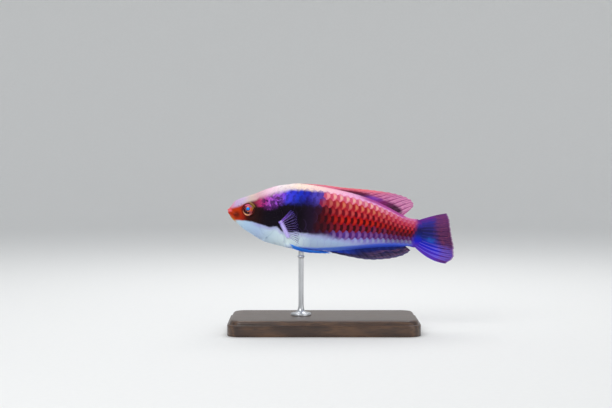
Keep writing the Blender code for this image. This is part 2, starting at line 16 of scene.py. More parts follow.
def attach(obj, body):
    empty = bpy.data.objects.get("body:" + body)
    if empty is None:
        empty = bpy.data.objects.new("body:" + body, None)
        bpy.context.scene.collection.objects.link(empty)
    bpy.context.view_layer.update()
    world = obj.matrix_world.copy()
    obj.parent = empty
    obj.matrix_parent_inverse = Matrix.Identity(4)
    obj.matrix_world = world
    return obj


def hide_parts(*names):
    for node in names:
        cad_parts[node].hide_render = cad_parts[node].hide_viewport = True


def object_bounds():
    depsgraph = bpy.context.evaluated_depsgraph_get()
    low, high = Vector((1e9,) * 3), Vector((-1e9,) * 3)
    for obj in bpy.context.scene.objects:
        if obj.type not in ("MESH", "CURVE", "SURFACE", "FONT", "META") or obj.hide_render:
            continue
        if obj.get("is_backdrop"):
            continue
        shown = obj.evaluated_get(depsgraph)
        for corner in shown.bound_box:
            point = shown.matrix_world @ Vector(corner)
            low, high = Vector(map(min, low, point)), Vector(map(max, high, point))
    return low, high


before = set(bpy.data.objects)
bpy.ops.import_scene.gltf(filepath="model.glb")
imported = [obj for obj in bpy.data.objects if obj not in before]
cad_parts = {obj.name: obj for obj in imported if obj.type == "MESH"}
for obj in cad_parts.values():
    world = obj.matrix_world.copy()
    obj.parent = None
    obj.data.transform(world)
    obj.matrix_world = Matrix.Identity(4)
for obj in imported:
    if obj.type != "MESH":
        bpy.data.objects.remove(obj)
cad_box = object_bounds()
print("packed model, mm:", [round(1000 * (high - low), 1) for low, high in zip(*cad_box)])

# %% [markdown]
# ## Camera
#
# The photograph looks at the fish from its left, square to the flank. A camera can be aimed by
# hand, or worked out: here the lens is long, so that the fish hardly distorts, and the distance
# follows from how many millimetres of the fish's plane the picture is wide.

# %% Camera
MM = 0.001
VIEW_WIDTH = 271.0
VIEW_CENTRE = (-7.8, 0.0, 56.4)
CAMERA_RISE = math.radians(2.5)
LENS, SENSOR = 85.0, 36.0
CLIP_START, CLIP_END = 0.01, 20.0


def add_object(name, data):
    """Puts data into the scene as an object of this name."""
    made = bpy.data.objects.new(name, data)
    bpy.context.scene.collection.objects.link(made)
    return made


def make_camera():
    """A camera square to the fish's left flank, a little above its level."""
    distance = VIEW_WIDTH * LENS / SENSOR
    back = Vector((0.0, -math.cos(CAMERA_RISE), math.sin(CAMERA_RISE)))
    lens = bpy.data.cameras.new("camera")
    lens.lens, lens.sensor_width = LENS, SENSOR
    lens.clip_start, lens.clip_end = CLIP_START, CLIP_END
    camera = add_object("camera", lens)
    camera.location = (Vector(VIEW_CENTRE) + back * distance) * MM
    camera.rotation_euler = back.to_track_quat("Z", "Y").to_euler()
    bpy.context.scene.camera = camera
    return distance


print("camera distance, mm:", round(make_camera()))

# %% [markdown]
# ## Shader sums
#
# A finish is a net of small nodes. Wiring them by hand hides what they compute, so one class
# stands for a socket and lets a mask be written as a sum, such as `1 - mask * 0.5`. Every other
# node comes from its `node` method, which takes the settings first and then the inputs.

# %% A class for sockets


def set_stops(ramp, stops):
    """Puts these (place, colour) stops on a colour ramp."""
    while len(ramp.elements) > 1:
        ramp.elements.remove(ramp.elements[-1])
    ramp.elements[0].position = stops[0][0]
    ramp.elements[0].color = (*stops[0][1], 1.0)
    for place, colour in stops[1:]:
        ramp.elements.new(place).color = (*colour, 1.0)


class Flow:
    """One output socket of a finish. Sums written with it add Math nodes."""

    def __init__(self, tree, socket=None):
        self.tree = tree
        self.socket = socket

    def node(self, kind, settings=None, inputs=None, out=0):
        """Adds a node, sets it, fills its inputs with values or links, and gives one output."""
        made = self.tree.nodes.new(kind)
        for name, value in (settings or {}).items():
            if name == "stops":
                set_stops(made.color_ramp, value)
            else:
                setattr(made, name, value)
        for name, value in (inputs or {}).items():
            if isinstance(value, Flow):
                self.tree.links.new(value.socket, made.inputs[name])
            else:
                made.inputs[name].default_value = value
        return Flow(self.tree, made.outputs[out])

    def also(self, out):
        """Another output of the same node."""
        return Flow(self.tree, self.socket.node.outputs[out])

    def maths(self, operation, *values):
        """A Math node on these values, which may be numbers or flows."""
        return self.node("ShaderNodeMath", {"operation": operation}, dict(enumerate(values)))

    def __add__(self, other):
        return self.maths("ADD", self, other)

    def __sub__(self, other):
        return self.maths("SUBTRACT", self, other)

    def __rsub__(self, other):
        return self.maths("SUBTRACT", other, self)

    def __mul__(self, other):
        return self.maths("MULTIPLY", self, other)

    def __truediv__(self, other):
        return self.maths("DIVIDE", self, other)

    def __pow__(self, other):
        return self.maths("POWER", self, other)

    __radd__ = __add__
    __rmul__ = __mul__


# %% Small shader tools


def soft(value, low, high):
    """0 below low and 1 above high, with a soft step between. With low above high it falls."""
    return value.node(
        "ShaderNodeMapRange", {"interpolation_type": "SMOOTHSTEP"}, {0: value, 1: low, 2: high}
    )


def tint(mask, under, over):
    """The colour under, with the colour over laid on it where the mask is 1."""
    under, over = (c if isinstance(c, Flow) else (*c, 1.0) for c in (under, over))
    return mask.node("ShaderNodeMix", {"data_type": "RGBA"}, {0: mask, 6: under, 7: over}, out=2)


def colours_along(value, stops):
    """A colour that follows a value through its stops."""
    return value.node("ShaderNodeValToRGB", {"stops": stops}, {0: value})


LINE_SPAN, LINE_REACH = 100.0, 20.0


def colours_down(station, stops):
    """A colour that follows the station. A stop at 1 lies LINE_SPAN millimetres from the snout."""
    return colours_along(station / LINE_SPAN, stops)


def height_along(station, points):
    """A height that follows the station through (station, height) points."""
    greys = [(s / LINE_SPAN, ((h / LINE_REACH + 1) / 2,) * 3) for s, h in points]
    return (colours_down(station, greys) * 2 - 1) * LINE_REACH


def sine(value):
    return value.maths("SINE", value)


def cloud(place, scale, seed=0.0, detail=2.0):
    """Soft noise between 0 and 1. The scale counts its lumps to the millimetre."""
    inputs = {"Vector": place, "W": seed, "Scale": scale, "Detail": detail}
    return place.node("ShaderNodeTexNoise", {"noise_dimensions": "4D"}, inputs)


def distance(x, z, centre, squash=1.0):
    """How far (x, z) is from a point. Heights count squash times as much as lengths."""
    across, up = x - centre[0], (z - centre[1]) * squash
    return (across * across + up * up) ** 0.5


def begin_finish(name, **constants):
    """A new material: itself, its shader, and a start for its sums. The constants go on the shader."""
    finish = bpy.data.materials.new(name)
    finish.use_nodes = True
    shader = finish.node_tree.nodes["Principled BSDF"]
    for socket, value in constants.items():
        shader.inputs[socket.replace("_", " ")].default_value = value
    return finish, shader, Flow(finish.node_tree)


def feed(shader, **flows):
    """Links sums to the shader's sockets."""
    for socket, flow in flows.items():
        flow.tree.links.new(flow.socket, shader.inputs[socket.replace("_", " ")])


def bumped(height, reach, strength=0.6):
    """A bump normal from a height between 0 and 1, which stands reach millimetres high."""
    return height.node(
        "ShaderNodeBump", None, {"Strength": strength, "Distance": reach * MM, "Height": height}
    )


print("shader tools ready")

# %% [markdown]
# ## Light
#
# A shiny fish shows what stands round it, so the light is three broad soft panels: one high on the
# left in front, a weaker one on the right, and one above and behind that lifts the back off the
# backdrop. A pale sky round them all could do alone, but it would leave the scales flat.

# %% Studio
PANELS = (
    ("key", (-260.0, -420.0, 430.0), 330.0, 1.25),
    ("fill", (430.0, -420.0, 160.0), 420.0, 0.5),
    ("crown", (20.0, 210.0, 420.0), 300.0, 0.9),
)
LIT_POINT = (5.0, 0.0, 48.0)
SKY_COLOUR, SKY_STRENGTH = (0.93, 0.96, 1.0, 1.0), 0.62


def make_light(name, place, size, power):
    """A square panel of light that faces the fish."""
    lamp = bpy.data.lights.new(name, "AREA")
    lamp.size, lamp.energy = size * MM, power
    panel = add_object(name, lamp)
    panel.location = Vector(place) * MM
    away = Vector(place) - Vector(LIT_POINT)
    panel.rotation_euler = away.to_track_quat("Z", "Y").to_euler()


for panel in PANELS:
    make_light(*panel)
sky = bpy.data.worlds.new("sky")
sky.use_nodes = True
glow = sky.node_tree.nodes["Background"].inputs
glow["Color"].default_value = SKY_COLOUR
glow["Strength"].default_value = SKY_STRENGTH
bpy.context.scene.world = sky
bpy.context.scene.view_settings.view_transform = "Standard"
print("soft panels:", len(PANELS))

# %% [markdown]
# ## Making meshes
#
# The skin, the fins and each scale are grids of points laid over a curved surface. A subdivided
# cage or a sculpt would also do, but a grid from a formula can follow the same named sizes as the
# solids. These tools turn rows of points into faces and see that the faces look outward.

# %% Grid tools


def grid_faces(rows, columns, wrap=False):
    """The four-sided faces of a grid of points. Wrap joins its last column to its first."""
    index = np.arange(rows * columns).reshape(rows, columns)
    if wrap:
        index = np.hstack([index, index[:, :1]])
    corners = index[:-1, :-1], index[:-1, 1:], index[1:, 1:], index[1:, :-1]
    return np.stack(corners, -1).reshape(-1, 4)


def edge_loop(rows, columns):
    """The points round the rim of a grid, in order."""
    index = np.arange(rows * columns).reshape(rows, columns)
    return np.concatenate([index[0, :-1], index[:-1, -1], index[-1, :0:-1], index[:0:-1, 0]])


def slab_faces(rows, columns):
    """Two grids, the second under the first, closed round their rim."""
    front = grid_faces(rows, columns)
    rim = edge_loop(rows, columns)
    after = np.roll(rim, -1)
    count = rows * columns
    side = np.stack([after, rim, rim + count, after + count], -1)
    return np.concatenate([front, front[:, ::-1] + count, side])


def signed_volume(points, faces):
    """Above zero where the faces of a closed surface look outward."""
    a, b, c, d = (points[faces[:, i]] for i in range(4))
    halves = np.einsum("ij,ij->i", a, np.cross(b, c)) + np.einsum("ij,ij->i", a, np.cross(c, d))
    return halves.sum()


def surface_normals(points, wrap=False):
    """A unit normal at each point of a grid of shape (rows, columns, 3)."""
    along = np.gradient(points, axis=0)
    if wrap:
        across = np.roll(points, -1, 1) - np.roll(points, 1, 1)
    else:
        across = np.gradient(points, axis=1)
    normal = np.cross(along, across)
    return normal / np.maximum(np.linalg.norm(normal, axis=-1, keepdims=True), 1e-9)


# %% From points to an object


def make_mesh(name, points, faces, maps=None, fields=None, sharp=None):
    """An object from world points in metres. Maps are UV pairs at each face corner, or at each
    point, and fields are single numbers at each point."""
    if signed_volume(points, faces) < 0:
        faces = faces[:, ::-1]
        maps = {k: m[:, ::-1] if m.ndim == 3 else m for k, m in (maps or {}).items()}
    mesh = bpy.data.meshes.new(name)
    mesh.vertices.add(len(points))
    mesh.vertices.foreach_set("co", points.astype(np.float32).ravel())
    mesh.loops.add(faces.size)
    mesh.loops.foreach_set("vertex_index", faces.astype(np.int32).ravel())
    mesh.polygons.add(len(faces))
    mesh.polygons.foreach_set("loop_start", np.arange(0, faces.size, 4, dtype=np.int32))
    mesh.polygons.foreach_set("loop_total", np.full(len(faces), 4, dtype=np.int32))
    mesh.update(calc_edges=True)
    mesh.shade_smooth()
    if sharp:
        mesh.set_sharp_from_angle(angle=math.radians(sharp))
    for title, pairs in (maps or {}).items():
        corners = pairs if pairs.ndim == 3 else pairs[faces]
        layer = mesh.uv_layers.new(name=title)
        layer.uv.foreach_set("vector", corners.astype(np.float32).ravel())
    for title, numbers in (fields or {}).items():
        layer = mesh.attributes.new(title, "FLOAT", "POINT")
        layer.data.foreach_set("value", numbers.astype(np.float32).ravel())
    return add_object(name, mesh)


def settle(piece, finish, slot, *nodes):
    """Gives a piece its finish and body and hides the solids it stands for. Its slot is not used."""
    piece.data.materials.append(finish)
    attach(piece, "root")
    if nodes:
        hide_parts(*nodes)
    print(f"{piece.name}: {len(piece.data.polygons)} faces")
    return piece


# %% [markdown]
# ## The body's shape
#
# The body is a row of cross sections from the snout to the tail. Each has a back height, a belly
# depth and a half width, and its outline is a rounded oval that is widest a little above the
# middle. The same table and formulas as in the solids are repeated here on whole arrays of
# points, so the skin lies where the solids are.

# %% Body sections
HEAD_UP = math.radians(7.2)
AXIS_HEIGHT = 53.5
ROD_STATION, ROD_FORWARD = 34.0, 10.0
SWEEP_START, SWEEP = 42.0, 2.2
BODY_LENGTH = 83.6
BODY_STATIONS = (
    (0.0, 0.80, -0.80, 0.95),
    (0.8, 2.15, -2.10, 1.80),
    (2.0, 4.20, -3.40, 2.55),
    (4.0, 5.70, -4.80, 3.45),
    (7.0, 7.20, -6.90, 4.50),
    (11.0, 9.35, -9.10, 5.45),
    (16.0, 12.05, -11.30, 6.40),
    (23.0, 14.50, -12.55, 7.15),
    (32.0, 15.40, -13.40, 7.40),
    (40.0, 15.25, -12.95, 7.15),
    (48.0, 14.65, -11.60, 6.50),
    (56.0, 13.65, -9.95, 5.60),
    (64.0, 11.85, -8.25, 4.50),
    (71.0, 9.45, -6.95, 3.45),
    (76.5, 7.30, -6.05, 2.55),
    (80.0, 6.65, -5.85, 1.85),
    (83.6, 6.60, -6.20, 1.00),
)
WIDEST_LEVEL = 0.55
BACK_POWER, BELLY_POWER = 1.9, 2.1
SNOUT_BULGE = 0.3
SKIN_END, LATTICE_END = 85.2, 88.0
THIN_FROM, THIN_TO = 82.6, 86.4
END_HALF_WIDTH = 0.42
print("sections from snout to tail stem:", len(BODY_STATIONS))

# %% The body's surface


def smooth(table, column, at):
    """Reads a column of a table between its rows, on a smooth curve."""
    rows = np.array(table, float)
    xs, ys = rows[:, 0], rows[:, column]
    slopes = np.gradient(ys, xs)
    at = np.clip(at, xs[0], xs[-1])
    i = np.clip(np.searchsorted(xs, at) - 1, 0, len(xs) - 2)
    width = xs[i + 1] - xs[i]
    t = (at - xs[i]) / width
    start = (1 + 2 * t) * (1 - t) ** 2 * ys[i] + t * (1 - t) ** 2 * width * slopes[i]
    end = t * t * (3 - 2 * t) * ys[i + 1] + t * t * (t - 1) * width * slopes[i + 1]
    return start + end


def blend(pair, share):
    """From the first of a pair to its second."""
    return pair[0] + (pair[1] - pair[0]) * share


def step(value, low, high):
    """0 below low and 1 above high, with a soft step between."""
    t = np.clip((value - low) / (high - low), 0.0, 1.0)
    return t * t * (3 - 2 * t)


def sweep(station):
    """How far the body's middle line has swung to the fish's right."""
    share = np.maximum(0.0, station - SWEEP_START) / (BODY_LENGTH - SWEEP_START)
    return SWEEP * share * share


def section(station):
    """Back height, belly depth, half width and widest level. Behind the last section the flesh
    thins out between the roots of the tail's rays."""
    top, bottom, half = (smooth(BODY_STATIONS, column, station) for column in (1, 2, 3))
    half = half - (1.0 - END_HALF_WIDTH) * step(station, THIN_FROM, THIN_TO)
    return top, bottom, half, bottom + (top - bottom) * WIDEST_LEVEL


def skin_point(station, angle, grow=0.0):
    """Points of the body's surface. Angle 0 is the back, a quarter turn the right flank."""
    top, bottom, half, middle = section(station)
    rise, side = np.cos(angle), np.sin(angle)
    up = rise > 0
    power = np.where(up, BACK_POWER, BELLY_POWER)
    reach = np.where(up, top + grow - middle, middle - bottom + grow)
    height = middle + np.sign(rise) * np.abs(rise) ** (2 / power) * reach
    across = np.sign(side) * np.abs(side) ** (2 / power) * (half + grow)
    return np.stack(np.broadcast_arrays(station, sweep(station) + across, height), -1)


def skin_normal(station, angle):
    """The outward direction of the body's surface, from points a small step away."""
    ahead, turn = 0.2, 0.02
    along = skin_point(station + ahead, angle) - skin_point(station - ahead, angle)
    around = skin_point(station, angle + turn) - skin_point(station, angle - turn)
    normal = np.cross(along, around)
    return normal / np.linalg.norm(normal, axis=-1, keepdims=True)


def angle_at(station, height):
    """The angle on the right flank at which the surface has this height."""
    top, bottom, _, middle = section(station)
    upper = np.arccos(np.clip((height - middle) / (top - middle), 0, 1) ** (BACK_POWER / 2))
    under = np.arccos(np.clip((middle - height) / (middle - bottom), 0, 1) ** (BELLY_POWER / 2))
    return np.where(height > middle, upper, math.pi - under)


print("body half width at the gills, mm:", round(float(section(24.0)[2]), 2))

# %% The fish's frame in the world


def fish_frame():
    """Head up, with the rod's station over the rod."""
    turn = Matrix.Rotation(HEAD_UP, 4, "Y")
    over_rod = turn @ Vector((ROD_STATION, 0.0, float(section(ROD_STATION)[1])))
    return Matrix.Translation((-ROD_FORWARD - over_rod.x, 0.0, AXIS_HEIGHT)) @ turn


FISH = fish_frame()


def to_world(points, matrix=FISH):
    """Points of a frame in millimetres as world points in metres."""
    turned = np.asarray(points) @ np.array(matrix.to_3x3()).T
    return (turned + np.array(matrix.translation)).reshape(-1, 3) * MM


def in_frame(start, matrix=FISH):
    """The point being shaded, in millimetres in a frame, as a flow of vectors."""
    here = start.node("ShaderNodeTexCoord", out="Object")
    inputs = {
        "Vector": here,
        "Location": matrix.translation * MM,
        "Rotation": matrix.to_euler(),
        "Scale": (MM, MM, MM),
    }
    return start.node("ShaderNodeMapping", {"vector_type": "TEXTURE"}, inputs)


def split(vector):
    """The three parts of a vector."""
    x = vector.node("ShaderNodeSeparateXYZ", None, {0: vector})
    return x, x.also(1), x.also(2)


print("snout tip in the world, mm:", [round(v, 1) for v in FISH @ Vector((-SNOUT_BULGE, 0, 0))])

# %% [markdown]
# ## Relief of the head
#
# A wrasse's face is read from a few folds: thick lips round a small mouth, two nostrils, a ring of
# flesh round the eye, the edge of the cheek plate, and the gill cover, which stands proud of the
# body and ends in a sharp edge. They could be sculpted, but here each is a small height added
# along the skin's own outward direction, from how far a point is from a line in the side view.

# %% Lines and places on the head
MOUTH_TIP, MOUTH_CORNER = -0.35, (3.6, -1.9)
JAW_REAR = ((3.6, -1.9), (3.95, -3.2), (4.7, -4.9), (6.2, -7.6))
GILL_MARGIN = (
    (-18.0, 12.0), (-12.6, 14.3), (-9.3, 18.2), (-5.4, 21.6), (-1.2, 23.5), (1.0, 24.1),
    (4.0, 22.9), (7.2, 20.8), (10.8, 18.6), (15.0, 17.2), (20.0, 16.6),
)
CHEEK_MARGIN = (
    (-10.4, 21.0), (-9.2, 17.8), (-6.6, 15.3), (-2.6, 14.1), (2.0, 14.3), (5.8, 16.0),
    (7.9, 19.0), (8.3, 22.5),
)
PLATE_SEAM = ((15.6, -6.3), (18.6, -5.9), (21.6, -4.7))
LACHRYMAL = ((2.9, 1.6), (4.6, 0.6), (6.0, -1.6), (6.6, -3.4))
NOSTRILS = ((4.3, 2.9), (5.4, 3.9))
SLIT_FOOT, SLIT_TOP = (-11.5, -9.5), (6.2, 8.4)
EYE_STATION, EYE_LEVEL = 8.65, 1.75
COVER_RISE = 0.3
COAT_DEPTH = 0.28
PECTORAL_ROOT = ((23.4, -1.4), (27.6, -7.8))
DORSAL_ROOT, ANAL_ROOT = (26.5, 76.5), (45.0, 78.5)
PELVIC_ROOT = ((28.6, 1.9), (27.4, 3.9))
CAUDAL_ROOT = (5.9, -5.6)


def bump(value, centre, reach):
    """A rounded bump, 1 at its centre and 0 beyond its reach."""
    return np.cos(np.clip((value - centre) / reach, -1, 1) * math.pi / 2) ** 2


def crease(value, reach):
    """A narrow valley's depth, 1 at its line."""
    return np.exp(-((value / reach) ** 2))


def distance_to_line(x, z, line, steps=6):
    """How far points are, in the side view, from a smooth line through a few places."""
    table = [(i, *place) for i, place in enumerate(line)]
    places = np.linspace(0, len(line) - 1, (len(line) - 1) * steps + 1)
    knots = np.stack([smooth(table, 1, places), smooth(table, 2, places)], -1)
    nearest = np.full(np.shape(x), 1e9)
    for (ax, az), (bx, bz) in zip(knots, knots[1:]):
        along = np.clip(((x - ax) * (bx - ax) + (z - az) * (bz - az)), 0, None)
        share = np.clip(along / ((bx - ax) ** 2 + (bz - az) ** 2), 0, 1)
        off = np.hypot(x - ax - share * (bx - ax), z - az - share * (bz - az))
        nearest = np.minimum(nearest, off)
    return nearest


def eye_frame(side):
    """The frame of an eye: its point on the head, looking out along Z."""
    angle = side * angle_at(EYE_STATION, EYE_LEVEL)
    point = Vector(skin_point(EYE_STATION, angle))
    outward = Vector(skin_normal(EYE_STATION, angle))
    up = Vector((0, 0, 1)) - outward * outward.z
    up.normalize()
    turn = Matrix((up.cross(outward), up, outward)).transposed().to_4x4()
    return Matrix.Translation(point) @ turn


def eye_distance(points):
    """How far points are from the axis of the nearer eye."""
    nearest = np.full(points.shape[:-1], 1e9)
    for side in (-1, 1):
        inverse = eye_frame(side).inverted()
        local = points @ np.array(inverse.to_3x3()).T + np.array(inverse.translation)
        apart = np.where(points[..., 1] * side > 0, np.hypot(local[..., 0], local[..., 1]), 1e9)
        nearest = np.minimum(nearest, apart)
    return nearest


print("eyes look out", [round(v, 2) for v in eye_frame(-1).to_3x3().col[2]])

# %% Heights of the relief


def mouth_relief(x, z):
    """Lips on both sides of the line of the mouth, a fold round each, and the furrow of the jaw."""
    slope = (MOUTH_CORNER[1] - MOUTH_TIP) / MOUTH_CORNER[0]
    away = (z - MOUTH_TIP - slope * x) / math.hypot(1, slope)
    lips = 0.2 * bump(away, 0.6, 0.6) + 0.18 * bump(away, -0.6, 0.55) - 0.34 * crease(away, 0.13)
    folds = -0.07 * crease(np.abs(away) - 1.2, 0.2)
    share = 1 - step(x, 3.0, 4.2)
    jaw = -0.16 * crease(distance_to_line(x, z, JAW_REAR), 0.2)
    cheek = -0.08 * crease(distance_to_line(x, z, LACHRYMAL), 0.3)
    return (lips + folds) * share + (jaw + cheek) * step(x, 2.0, 3.6)


def nostril_relief(x, z):
    """Two pits, each with a soft rim."""
    total = np.zeros(np.shape(x))
    for station, height in NOSTRILS:
        away = np.hypot(x - station, z - height)
        total += 0.16 * crease(away - 0.34, 0.13) - 0.45 * crease(away, 0.2)
    return total


def eye_relief(away):
    """A socket with a fleshy ring round it, and a faint furrow outside the ring."""
    socket = -1.6 * (1 - step(away, 2.42, 2.62))
    ring = 0.36 * bump(away, 2.9, 0.5)
    return socket + ring - 0.07 * crease(away - 3.55, 0.3)


def gill_edge(z):
    """The station of the gill cover's rear edge at a height."""
    return smooth(GILL_MARGIN, 1, z)


def open_slit(z):
    """1 at the heights where the gill cover stands free of the body, fading at both ends."""
    return step(z, *SLIT_FOOT) * (1 - step(z, *SLIT_TOP))


def gill_relief(x, z):
    """The gill cover stands proud and ends in an edge over a slit."""
    cheek = smooth(CHEEK_MARGIN, 1, z)
    behind = x - gill_edge(z)
    raised = step(x, cheek - 0.3, cheek + 0.8) * step(z, -10.4, -9.0) * (1 - step(z, 6.5, 8.3))
    cover = raised * COVER_RISE * (1 - 0.4 * step(behind, -2.4, 0.0)) * (behind <= 0.001)
    slit = -0.42 * open_slit(z) * (1 - step(behind, 0.1, 1.7)) * (behind > 0.001)
    line = -0.15 * crease(x - cheek + 0.3, 0.32) * step(z, -9.5, -7.5) * (1 - step(z, 5.0, 7.5))
    seam = -0.09 * crease(distance_to_line(x, z, PLATE_SEAM), 0.25)
    return cover + slit + line + seam


def fin_relief(x, y, z):
    """Sheaths along the roots of the long fins, and the fleshy feet of the paired ones."""
    middle = np.abs(y - sweep(x))
    back = step(x, DORSAL_ROOT[0] - 2, DORSAL_ROOT[0] + 2) * (1 - step(x, 76.0, 80.0)) * (z > 0)
    under = step(x, ANAL_ROOT[0] - 2, ANAL_ROOT[0] + 2) * (1 - step(x, 78.0, 81.0)) * (z < 0)
    sheath = 0.55 * crease(middle, 0.75) * (back + under)
    foot = 0.85 * bump(distance_to_line(x, z, PECTORAL_ROOT), 0.0, 1.25)
    foot = foot * step(x - gill_edge(z), 0.0, 0.4)
    centre = [sum(pair) / 2 for pair in zip(*PELVIC_ROOT)]
    pelvic = np.hypot(x - centre[0], (np.abs(y) - centre[1]) * 1.3)
    return sheath + foot + 0.6 * bump(pelvic, 0.0, 2.2) * (z < 0)


def coat_bed(x, z, eye_away):
    """How much of the coat's depth the skin lies inside the solids: none on the snout."""
    return step(x + 0.25 * np.abs(z), 9.5, 14.0) * step(eye_away, 3.2, 4.2)


def relief(points, gills=True):
    """The height of the skin's relief at points of the plain body."""
    x, y, z = points[..., 0], points[..., 1], points[..., 2]
    eye_away = eye_distance(points)
    total = mouth_relief(x, z) + nostril_relief(x, z) + eye_relief(eye_away) + fin_relief(x, y, z)
    total -= COAT_DEPTH * coat_bed(x, z, eye_away)
    return total + gill_relief(x, z) if gills else total


def skin_surface(station, angle, gills=True):
    """Points of the skin with its relief, and its outward directions."""
    points = skin_point(station, angle)
    normals = skin_normal(station, angle)
    return points + normals * relief(points, gills)[..., None], normals


print("gill cover's edge reaches station, mm:", round(float(gill_edge(1.0)), 1))

# %% [markdown]
# ## The skin
#
# One closed mesh takes the place of head, jaw, gill covers, trunk and tail stem, so no seam
# shows. Its rings could be cut straight across, but then the gill cover's edge would come out in
# steps. So the rings of the head are stretched until the last one lies on that edge, and the
# next, a hair behind it, drops into the slit.

# %% Lattice of the scales
ROWS_AROUND = 18
ROW_RISE = 0.013
HALF_ROWS = ROWS_AROUND / 2
COLUMN_PITCH = (
    (0.0, 2.5), (16.0, 2.6), (24.0, 2.85), (45.0, 2.95), (60.0, 2.65), (70.0, 2.2), (78.0, 1.95),
    (88.0, 1.7),
)
TABLE_STATIONS = np.linspace(0.0, LATTICE_END, 441)
TABLE_ANGLES = np.linspace(0.0, 2 * math.pi, 721)
TABLE_SHARES = np.linspace(0.0, 1.0, 401)


# %% Tables of the lattice


def girth_shares():
    """For each station of the table, the share of the girth passed at each angle, with the rows
    of the flank moved up a little."""
    points = skin_point(TABLE_STATIONS[:, None], TABLE_ANGLES[None, :])
    pieces = np.linalg.norm(np.diff(points, axis=1), axis=-1)
    passed = np.concatenate([np.zeros((len(points), 1)), np.cumsum(pieces, axis=1)], axis=1)
    share = passed / passed[:, -1:]
    return share + ROW_RISE * np.sin(2 * math.pi * share)


SHARES = girth_shares()
ANGLES = np.array([np.interp(TABLE_SHARES, row, TABLE_ANGLES) for row in SHARES])
COLUMNS = np.concatenate(
    [[0.0], np.cumsum(np.diff(TABLE_STATIONS) / smooth(COLUMN_PITCH, 1, TABLE_STATIONS[1:]))]
)


def read_grid(grid, across, down):
    """Reads a grid between its rows and columns, at places given as shares from 0 to 1."""
    row, column = across * (grid.shape[0] - 1), down * (grid.shape[1] - 1)
    i = np.clip(row.astype(int), 0, grid.shape[0] - 2)
    j = np.clip(column.astype(int), 0, grid.shape[1] - 2)
    a, b = row - i, column - j
    upper = grid[i, j] * (1 - b) + grid[i, j + 1] * b
    lower = grid[i + 1, j] * (1 - b) + grid[i + 1, j + 1] * b
    return upper * (1 - a) + lower * a


def lattice_of(station, angle):
    """Column and row of the scale lattice at places of the skin."""
    station, turned = np.broadcast_arrays(station, np.mod(angle, 2 * math.pi))
    share = read_grid(SHARES, station / LATTICE_END, turned / (2 * math.pi))
    return np.interp(station, TABLE_STATIONS, COLUMNS), share * ROWS_AROUND


def place_in_lattice(column, row):
    """Station and angle on the skin of places in the lattice."""
    station = np.interp(column, COLUMNS, TABLE_STATIONS)
    share = np.mod(row / ROWS_AROUND, 1.0)
    return station, read_grid(ANGLES, station / LATTICE_END, share)


print("columns of scales from snout to tail:", round(float(COLUMNS[-1]), 1))

# %% Skin mesh
SKIN_SIDES, FLANK_CROWDING = 240, 0.35
SNOUT_RINGS, HEAD_RINGS, BODY_RINGS = 12, 240, 160
HEAD_CROWDING, BODY_CROWDING = 1.3, 1.15
EDGE_GUESS, EDGE_ROUNDS, EDGE_STEP = 20.0, 40, 0.04
SKIN_SHARP = 62.0


def ring_stations(angles):
    """The station of each ring at each angle, and how far each ring of the snout has opened.
    Where the gill cover ends at an angle depends on the height there, and the height on the
    station, so the edge starts from a guess and closes in on its place."""
    edge = np.full(len(angles), EDGE_GUESS)
    for _ in range(EDGE_ROUNDS):
        edge = 0.5 * edge + 0.5 * gill_edge(skin_point(edge, angles)[..., 2])
    head = np.linspace(0, 1, HEAD_RINGS)[:, None] ** HEAD_CROWDING * edge
    rear = (np.linspace(0, 1, BODY_RINGS) ** BODY_CROWDING)[:, None]
    rear = edge + EDGE_STEP + rear * (SKIN_END - edge - EDGE_STEP)
    snout = np.zeros((SNOUT_RINGS, len(angles)))
    opening = np.sin(np.linspace(0.02, 1, SNOUT_RINGS, endpoint=False) * math.pi / 2)
    return np.vstack([snout, head, rear]), opening


def skin_rings():
    """Rings of points on the plain body, the first ones rounding the tip of the snout."""
    even = np.linspace(0, 2 * math.pi, SKIN_SIDES, endpoint=False)
    angles = even + FLANK_CROWDING / 2 * np.sin(2 * even)
    stations, opening = ring_stations(angles)
    points = skin_point(stations, angles[None, :])
    tip = points[:SNOUT_RINGS]
    centre = tip.mean(axis=1, keepdims=True)
    points[:SNOUT_RINGS] = centre + (tip - centre) * opening[:, None, None]
    points[:SNOUT_RINGS, :, 0] = -SNOUT_BULGE * np.sqrt(1 - opening[:, None] ** 2)
    return stations, angles, points


def capped(points):
    """Points and faces of a closed surface from rings of points, with a fan at each end."""
    rows, columns = points.shape[:2]
    flat = points.reshape(-1, 3)
    ends = []
    for row, turn in ((0, 1), (rows - 1, -1)):
        ring = row * columns + np.arange(columns)
        corners = ring[::2], np.roll(ring, -1)[::2], np.roll(ring, -2)[::2]
        ends.append(np.stack(corners, -1)[:, ::turn])
    middle = [flat[:columns].mean(0), flat[-columns:].mean(0)]
    count = len(flat)
    fans = [np.hstack([fan, np.full((len(fan), 1), count + k)]) for k, fan in enumerate(ends)]
    return np.vstack([flat, middle]), np.vstack([grid_faces(rows, columns, wrap=True), *fans])


def make_skin():
    """The skin with its relief, and maps of the scale lattice and of its own unwrap."""
    stations, angles, rings = skin_rings()
    normals = surface_normals(rings, wrap=True)
    normals *= np.sign((normals * (rings - rings.mean(1, keepdims=True))).sum())
    rings = rings + normals * relief(rings)[..., None]
    points, faces = capped(rings)
    column, row = lattice_of(stations, angles[None, :])
    lattice = np.vstack([np.stack([column, row], -1).reshape(-1, 2), [[0, 0], [COLUMNS[-1], 0]]])
    corners = lattice[faces]
    span = corners[..., 1].max(axis=1) - corners[..., 1].min(axis=1)
    seam = (span > HALF_ROWS)[:, None] & (corners[..., 1] < HALF_ROWS)
    corners[..., 1] += seam * ROWS_AROUND
    unwrap = corners / (COLUMNS[-1], ROWS_AROUND)
    maps = {"OFBake": unwrap, "lattice": corners}
    return make_mesh("skin", to_world(points), faces, maps, sharp=SKIN_SHARP)


